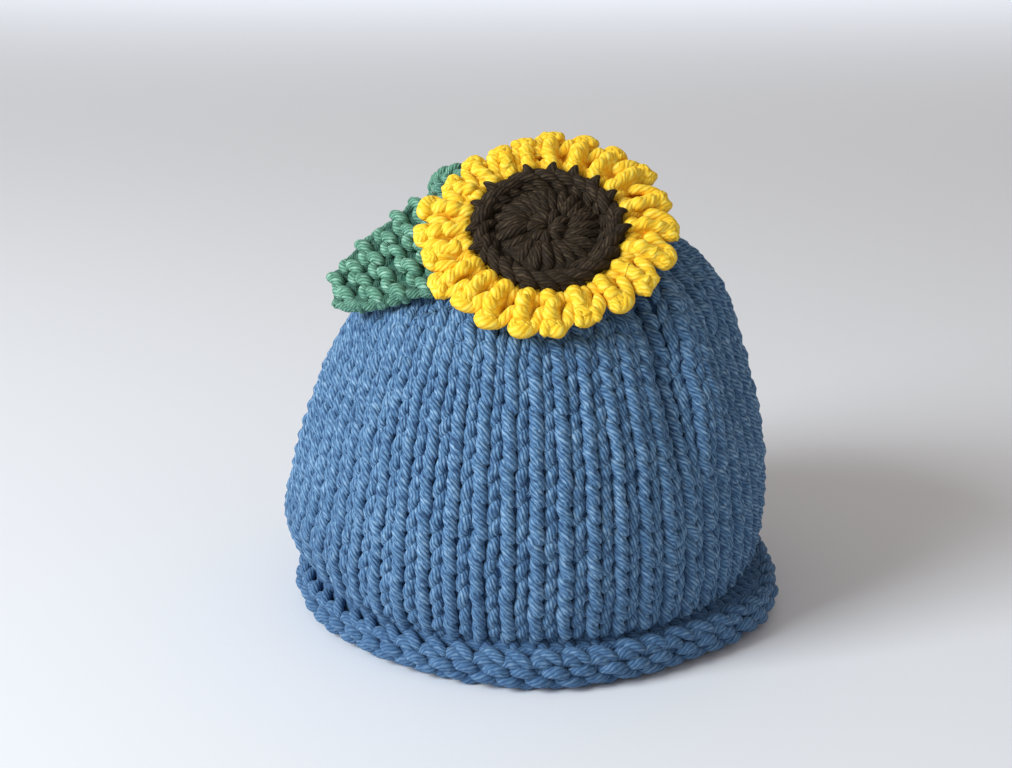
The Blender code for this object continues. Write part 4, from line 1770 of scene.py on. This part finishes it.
@dataclass
class CrochetDisc:
    """The brown middle: rounds of stitches, and points that reach over the petals."""

    flower: FlowerPlace
    profile: tuple[tuple[float, float], ...] = (
        (0.0, 1.6), (4.0, 2.1), (8.0, 2.0), (11.0, 1.4), (13.2, 0.6), (14.8, 2.2), (16.2, 2.5),
        (17.4, 1.6), (18.4, 0.4),
    )
    yarn: float = 1.3
    points: tuple[float, ...] = (-5, 13, 31, 49, 68, 86, 105, 139, 159, 182, 202)
    rounds: tuple[tuple[int, float, float], ...] = ((5, 0.9, 5.4), (14, 4.6, 12.9))
    post_half: float = 0.27
    groove_reach: tuple[float, float] = (12.2, 15.0)
    groove_count: int = 22
    cord_reach: tuple[float, float] = (14.5, 17.6)
    cord_count: int = 23
    cord_lap: float = 1.7
    edge_reach: tuple[float, float] = (16.6, 18.0)
    edge_count: int = 26
    spike_root: float = 16.6
    spike_length: float = 2.75
    ground_reach: tuple[float, ...] = (0.4, 3, 6, 9, 11, 12.6, 13.6, 14.8, 16.2, 17.2)
    ground_count: int = 72
    ground_sink: float = 1.05
    # painted shade on the ground between the stitches
    ground_shade: float = 0.5
    seed: int = 43

    def top(self, reach: np.ndarray) -> np.ndarray:
        """Height of the disc's face."""
        reaches, heights = zip(*self.profile)
        return np.interp(reach, reaches, heights)

    def leg(self, mesh: YarnMesh, start: tuple[float, float], end: tuple[float, float],
            sink: float, radius: float, rise: float = 0.9) -> None:
        """Adds a leaf-shaped strand between two places, each an angle and a reach.

        Args:
            mesh: Where the yarn goes.
            start: Where it starts.
            end: Where it ends.
            sink: How far it lies below the disc's face.
            radius: Its radius in the middle.
            rise: How far its middle rises.
        """
        first, last = (self.flower.point(angle, reach, self.top(reach) - sink)
                       for angle, reach in (start, end))
        points, thick = bowed(first, last, self.flower.out, rise, radius)
        mesh.add(points, self.flower.out, thick)

    def round(self, mesh: YarnMesh, count: int, inner: float, outer: float,
              noise: np.random.Generator) -> None:
        """Adds a round of upright stitches, each of two strands, none quite like the next.

        Args:
            mesh: Where the yarn goes.
            count: How many stitches there are.
            inner: The reach at their feet.
            outer: The reach at their heads.
            noise: The random numbers.
        """
        for index in range(count):
            middle = TURN * (index + noise.normal(0, 0.1)) / count
            half = TURN / count * self.post_half
            lift = noise.normal(0.1, 0.28)
            twist = noise.normal(0.1, 0.12)
            for side in (-1, 1):
                self.leg(mesh, (middle + side * half * 0.8, inner + noise.normal(0, 0.5)),
                         (middle + side * half * 1.1 + twist, outer + noise.normal(0, 0.5)),
                         self.yarn + 0.6 - lift, self.yarn * (1.12 + noise.normal(0, 0.1)))

    def groove(self, mesh: YarnMesh, noise: np.random.Generator) -> None:
        """Adds the sunken strands between the dome and the cord.

        Args:
            mesh: Where the yarn goes.
            noise: The random numbers.
        """
        inner, outer = self.groove_reach
        for index in range(self.groove_count):
            start = TURN * (index + noise.normal(0, 0.2)) / self.groove_count
            self.leg(mesh, (start, inner), (start + 0.3 + noise.normal(0, 0.06), outer),
                     self.yarn + 0.5 + noise.normal(0, 0.2), self.yarn, 0.2)

    def cord(self, mesh: YarnMesh, noise: np.random.Generator) -> None:
        """Adds the raised cord that runs round the disc.

        Args:
            mesh: Where the yarn goes.
            noise: The random numbers.
        """
        inner, outer = self.cord_reach
        step = TURN / self.cord_count
        for index in range(self.cord_count):
            start = (index + noise.normal(0, 0.1)) * step
            end = (start + step * self.cord_lap, outer + noise.normal(0, 0.2))
            self.leg(mesh, (start, inner), end, self.yarn + 0.25, self.yarn * 1.2, 1.0)

    def edge(self, mesh: YarnMesh, noise: np.random.Generator) -> None:
        """Adds the low strands outside the cord.

        Args:
            mesh: Where the yarn goes.
            noise: The random numbers.
        """
        inner, outer = self.edge_reach
        for index in range(self.edge_count):
            angle = TURN * (index + noise.normal(0, 0.1)) / self.edge_count
            self.leg(mesh, (angle, inner), (angle + 0.12, outer), self.yarn + 1.2, self.yarn, 0.3)

    def spike(self, mesh: YarnMesh, degrees: float, noise: np.random.Generator) -> None:
        """Adds a point that reaches over the petals.

        Args:
            mesh: Where the yarn goes.
            degrees: Its angle.
            noise: The random numbers.
        """
        share = np.linspace(0, 1, 7)
        angle = math.radians(degrees) + noise.normal(0, 0.04) * share
        reach = self.spike_root + (self.spike_length + noise.normal(0, 0.25)) * share
        line = self.flower.point(angle, reach, 0.9 + 0.9 * np.sin(math.pi * share * 0.8))
        mesh.add(line, self.flower.out, (1.75 - 1.4 * share) * MM)

    def build(self) -> YarnMesh:
        """All the rounds.

        Returns:
            The disc's yarn.
        """
        noise = np.random.default_rng(self.seed)
        mesh = YarnMesh("disc_stitches", 10)
        for count, inner, outer in self.rounds:
            self.round(mesh, count, inner, outer, noise)
        self.groove(mesh, noise)
        self.cord(mesh, noise)
        for degrees in self.points:
            self.spike(mesh, degrees, noise)
        self.edge(mesh, noise)
        return mesh

    def backing(self) -> bpy.types.Object:
        """The ground of the disc, under painted shade.

        Returns:
            The object.
        """
        angle = (np.arange(self.ground_count) * TURN / self.ground_count)[:, None]
        levels = np.array(self.ground_reach)
        upper = self.flower.point(angle, levels, self.top(levels) - self.ground_sink)
        lower = self.flower.point(angle, levels, self.flower.disc_under)
        shade = np.full(upper.shape[:2], self.ground_shade)
        return closed_band("disc_ground", upper, lower, shade)


@dataclass
class GarterLeaf:
    """A leaf in garter stitch: ridges of purl bumps across it, with grooves between them."""

    place: LeafPlace
    skew: float
    trim: tuple[float, float]
    ridges: int = 8
    pitch: float = 2.9
    yarn: float = 1.3
    bump_half: float = 2.35
    bump_rise: float = 1.35
    # painted shade on the legs in the grooves, and on the edge stitches
    leg_shade: float = 0.3
    selvedge_shade: float = 0.8
    ground_span: tuple[float, float] = (0.02, 0.97)
    ground_edge: float = 0.9
    ground_half: float = 0.6
    ground_grid: tuple[int, int] = (40, 13)
    seed: int = 57

    def width(self, share: np.ndarray, side: np.ndarray) -> np.ndarray:
        """How far the stitches reach to one side, in metres."""
        trim = np.where(side > 0, self.trim[1], self.trim[0])
        return self.place.width_at(share) - trim * smooth(share, 0.1, 0.7) * MM

    def ends(self, share: float) -> tuple[float, float]:
        """Where a ridge meets the leaf's two edges, in millimetres from its middle line.

        Args:
            share: The ridge's place along the leaf, from 0 to 1.

        Returns:
            The place of each end.
        """
        offset = np.linspace(-20, 20, 401)
        shares = np.clip(share + self.skew * offset / self.long, 0, 1.0)
        inside = np.abs(offset) <= self.width(shares, offset) / MM - 0.9
        inside &= share + self.skew * offset / self.long < 1.02
        return float(offset[inside].min()), float(offset[inside].max())

    @property
    def long(self) -> float:
        """The leaf's length in millimetres."""
        return self.place.length / MM

    def strand(self, mesh: YarnMesh, share: float, offset: np.ndarray, along: np.ndarray,
               height: np.ndarray, radius: np.ndarray, face: Face, shade: float = 1.0) -> None:
        """Adds a strand.

        Args:
            mesh: Where it goes.
            share: The place of its ridge, as a share of the leaf's length.
            offset: How far each point lies across the leaf, in millimetres.
            along: How far each point lies from the ridge's line, in millimetres.
            height: How far each point lies from the leaf's middle surface, in millimetres.
            radius: The strand's radius at each point, in millimetres.
            face: The face on which it lies.
            shade: Its painted shade, from 0 (all the shade colour) to 1 (none).
        """
        shares = share + (self.skew * offset + along) / self.long
        out = self.place.out
        points = self.place.middle(np.clip(shares, -0.03, 1.04), offset * MM)
        points = points + out * (face.value * height * MM)[:, None]
        mesh.add(points, out * face.value, radius * MM, shade=shade)

    def ridge(self, mesh: YarnMesh, index: int, face: Face, noise: np.random.Generator) -> None:
        """Adds a ridge's bumps, and the legs that lie in the groove beside it.

        Args:
            mesh: Where the yarn goes.
            index: The ridge's number.
            face: The leaf's face on which it lies.
            noise: The random numbers.
        """
        share = (index + 0.5) / self.ridges
        low, high = self.ends(share)
        count = max(int(round((high - low) / self.pitch)), 2)
        t, bow = arch(8)
        for j in range(count):
            middle = low + (j + 0.5) * (high - low) / count + noise.normal(0, 0.35)
            side = 1 if j % 2 else -1
            half = self.bump_half + noise.normal(0, 0.25)
            along = side * (0.25 + 0.6 * bow) + noise.normal(0, 0.3) - 0.75 * side * t
            height = 0.6 + self.bump_rise * bow**0.8 + noise.normal(0, 0.25) - 0.5 * side * t
            radius = self.yarn * (0.66 + (0.5 + noise.normal(0, 0.06)) * bow**0.6)
            self.strand(mesh, share, middle + half * t, along, height, radius, face)
            if index + 1 < self.ridges:
                start = 0.5 * self.long / self.ridges
                self.strand(mesh, share, middle + 0.8 * side * t, start + 1.6 * t,
                            -0.5 + 0.4 * bow, self.yarn * (0.7 + 0.3 * bow), face,
                            self.leg_shade)

    def selvedge(self, mesh: YarnMesh, noise: np.random.Generator) -> None:
        """Adds the edge stitches down both sides of the leaf.

        Args:
            mesh: Where the yarn goes.
            noise: The random numbers.
        """
        t, bow = arch(7)
        count = 2 * self.ridges - 1
        for side in (-1, 1):
            for index in range(count):
                share = (index + 0.5 + noise.normal(0, 0.12) + 0.8 * t) / count
                share = np.clip(share, 0.01, 0.96)
                inset = 1.5 - 0.3 * bow + noise.normal(0, 0.25)
                width = self.width(share, np.full_like(share, side)) - inset * MM
                points = self.place.middle(share, side * width)
                lift = (noise.normal(0, 0.5) + 0.8 * t) * MM
                radius = self.yarn * MM * (0.6 + (0.45 + noise.normal(0, 0.08)) * bow)
                mesh.add(points + self.place.out * lift[:, None], self.place.across * side,
                         radius, shade=self.selvedge_shade)

    def build(self) -> YarnMesh:
        """The ridges on both faces.

        Returns:
            The leaf's yarn.
        """
        noise = np.random.default_rng(self.seed + len(self.place.name))
        mesh = YarnMesh(self.place.name + "_stitches", 10)
        for face in Face:
            for index in range(self.ridges):
                self.ridge(mesh, index, face, noise)
        self.selvedge(mesh, noise)
        return mesh

    def backing(self) -> bpy.types.Object:
        """The ground inside the leaf.

        Returns:
            The object.
        """
        levels, across = self.ground_grid
        share = np.linspace(*self.ground_span, levels)[:, None]
        edge = np.linspace(-self.ground_edge, self.ground_edge, across)[None]
        offset = self.width(share, edge) * edge
        middle = self.place.middle(np.broadcast_to(share, offset.shape), offset)
        lift = self.place.out * self.ground_half * MM
        points = np.concatenate((middle + lift, (middle - lift)[:, ::-1]), axis=1)
        steps = 2 * across
        faces = [(i * steps + j, (i + 1) * steps + j, (i + 1) * steps + (j + 1) % steps,
                  i * steps + (j + 1) % steps) for i in range(levels - 1) for j in range(steps)]
        for row in (0, levels - 1):
            for j in range(across - 1):
                quad = [row * steps + j, row * steps + j + 1, row * steps + steps - 2 - j,
                        row * steps + steps - 1 - j]
                faces.append(tuple(quad if row == 0 else quad[::-1]))
        mesh = mesh_of(self.place.name + "_ground", points.reshape(-1, 3), faces)
        mesh.validate()
        return link(mesh.name, mesh)


class Lamp(NamedTuple):
    """A square soft light, with its lengths in metres, its power in watts and its cone in degrees."""

    name: str
    place: tuple[float, float, float]
    target: tuple[float, float, float]
    size: float
    power: float
    color: tuple[float, float, float]
    cone: float


@dataclass
class Studio:
    """The plain pale floor, the soft light and the camera at the photo's angle."""

    target: tuple[float, float, float] = (-6.8, 1.1, 55.4)
    distance: float = 450.0
    elevation: float = math.radians(18)
    sensor: float = 36.0
    lens: float = 1747 / 1012 * 36  # focal length and picture width, both in pixels of the photo
    nearest: float = 0.01  # in metres
    floor_half: float = 4.0  # in metres
    floor_color: tuple[float, float, float] = (0.85, 0.865, 0.9)
    floor_roughness: float = 0.6
    sky_color: tuple[float, float, float] = (1.0, 0.93, 0.88)
    sky_strength: float = 0.42
    lamps: tuple[Lamp, ...] = (
        Lamp("key", (-0.95, -0.55, 0.7), (0, 0, 0.05), 0.6, 19.5, (0.88, 0.95, 1.0), 180.0),
        Lamp("backdrop", (0, 2.6, 1.5), (0, 2.6, 0), 2.4, 19.0, (0.82, 0.9, 1.0), 80.0),
    )

    @staticmethod
    def aim(piece: bpy.types.Object, way: Vector) -> None:
        """Turns a camera or a lamp so that it looks a given way.

        Args:
            piece: The camera or the lamp.
            way: The way in which it looks.
        """
        piece.rotation_mode = "QUATERNION"
        piece.rotation_quaternion = way.to_track_quat("-Z", "Y")

    def camera(self) -> None:
        """Adds the camera."""
        data = bpy.data.cameras.new("camera")
        data.lens = self.lens
        data.sensor_width = self.sensor
        data.clip_start = self.nearest
        made = link("camera", data)
        back = Vector((0, -math.cos(self.elevation), math.sin(self.elevation)))
        made.location = Vector(self.target) * MM + back * self.distance * MM
        self.aim(made, -back)
        bpy.context.scene.camera = made

    def light(self, lamp: Lamp) -> None:
        """Adds a lamp.

        Args:
            lamp: Where it hangs, and how it shines.
        """
        data = bpy.data.lights.new(lamp.name, "AREA")
        data.size = lamp.size
        data.energy = lamp.power
        data.color = lamp.color
        data.spread = math.radians(lamp.cone)
        made = link(lamp.name, data)
        made.location = lamp.place
        self.aim(made, Vector(lamp.target) - made.location)

    def floor(self) -> None:
        """Adds the floor."""
        half = self.floor_half
        corners = [(-half, -half, 0), (half, -half, 0), (half, half, 0), (-half, half, 0)]
        mesh = bpy.data.meshes.new("floor")
        mesh.from_pydata(corners, [], [(0, 1, 2, 3)])
        s = Surface("floor")
        s.set(Base_Color=(*self.floor_color, 1), Roughness=self.floor_roughness)
        mesh.materials.append(s.material)
        made = link("floor", mesh)

    def sky(self) -> None:
        """Adds the even light from all round."""
        world = bpy.data.worlds.new("studio")
        world.use_nodes = True
        shader = world.node_tree.nodes["Background"]
        shader.inputs["Color"].default_value = (*self.sky_color, 1)
        shader.inputs["Strength"].default_value = self.sky_strength
        bpy.context.scene.world = world

    def build(self) -> None:
        """Adds all of it."""
        self.camera()
        self.floor()
        self.sky()
        bpy.context.scene.view_settings.view_transform = "Standard"
        for lamp in self.lamps:
            self.light(lamp)


def make_leaf_places(flower: FlowerPlace) -> list[LeafPlace]:
    """The places of the two leaves.

    Args:
        flower: Where the flower lies, above them.

    Returns:
        The left leaf and the back leaf.
    """
    return [
        LeafPlace("leaf_left", root=(-7.9, -17.4, 101.0), tip=(-50.0, -11.7, 82.8),
                  across_hint=(0, 0.788, 0.616), arch=4.0, half_width=15.6, flower=flower),
        LeafPlace("leaf_back", root=(-5.0, -3.4, 110.2), tip=(-16.4, 41.1, 89.5),
                  across_hint=(1, 0.2, 0), arch=5.0, half_width=14.0, flower=flower),
    ]


BLUE = YarnFinish(
    "blue_yarn", base=(0.085, 0.197, 0.355), deep=(0.02, 0.055, 0.14), bright=(0.262, 0.41, 0.57),
    shade_color=(0.032, 0.088, 0.2), plies=8, lead=10.0)
YELLOW = YarnFinish(
    "yellow_yarn", base=(0.945, 0.61, 0.027), deep=(0.86, 0.41, 0.006), bright=(1.0, 0.79, 0.13),
    shade_color=(0.62, 0.24, 0.003), plies=6, lead=7.5, crease_shade_strength=0.38, ply_depth=0.15, roughness=0.7,
    sheen=0.2)
BROWN = YarnFinish(
    "brown_yarn", base=(0.021, 0.0118, 0.0042), deep=(0.0145, 0.0088, 0.0036),
    bright=(0.078, 0.05, 0.026), shade_color=(0.0145, 0.0088, 0.0036), plies=8, sheen=0.05)
GREEN = YarnFinish(
    "green_yarn", base=(0.12, 0.31, 0.21), deep=(0.03, 0.10, 0.07), bright=(0.33, 0.56, 0.44),
    shade_color=(0.03, 0.10, 0.07), plies=8, lead=7.5)


def main() -> None:
    """Builds every piece in order."""
    logging.basicConfig(level=logging.INFO)
    Studio().build()
    flower = FlowerPlace()
    leaves = make_leaf_places(flower)
    face = CoverFace(flower, leaves)
    log.info("row pitch %.2f mm", face.pitch / MM)
    cover = KnitCover(face)
    blue = BLUE.build()
    rows = [dress(mesh.build(), blue, BLUE.slot) for mesh in cover.build()]
    rolled = RolledHem()
    hem = dress(rolled.build(face).build(), blue, BLUE.slot)
    # the ground behind the loops takes the plain colour of the blue yarn's painted shade, to fill the
    # gaps with shade
    blue_ground_shade = plain_material("blue_ground_shade", BLUE.shade_color)
    ground = dress(cover.ground(rolled), blue_ground_shade, BLUE.slot, "cosy_body")
    yellow, brown, green = YELLOW.build(), BROWN.build(), GREEN.build()
    petals = RuffledPetals(flower)
    dress(petals.build().build(), yellow, YELLOW.slot)
    dress(petals.backing(), yellow, YELLOW.slot, "flower_petals")
    disc = CrochetDisc(flower)
    dress(disc.build().build(), brown, BROWN.slot)
    dress(disc.backing(), brown, BROWN.slot, "flower_centre")
    # the ground inside each leaf takes the green yarn's lowest tone plainly, as painted shade in the
    # gaps
    green_ground_shade = plain_material("green_ground_shade", GREEN.deep)
    for place, skew, trim in zip(leaves, (0.4, 0.1), ((0.8, 4.4), (-1.4, 0.0))):
        leaf = GarterLeaf(place, skew, trim)
        dress(leaf.build().build(), green, GREEN.slot)
        dress(leaf.backing(), green_ground_shade, GREEN.slot, place.name)


if __name__ == "__main__":
    main()
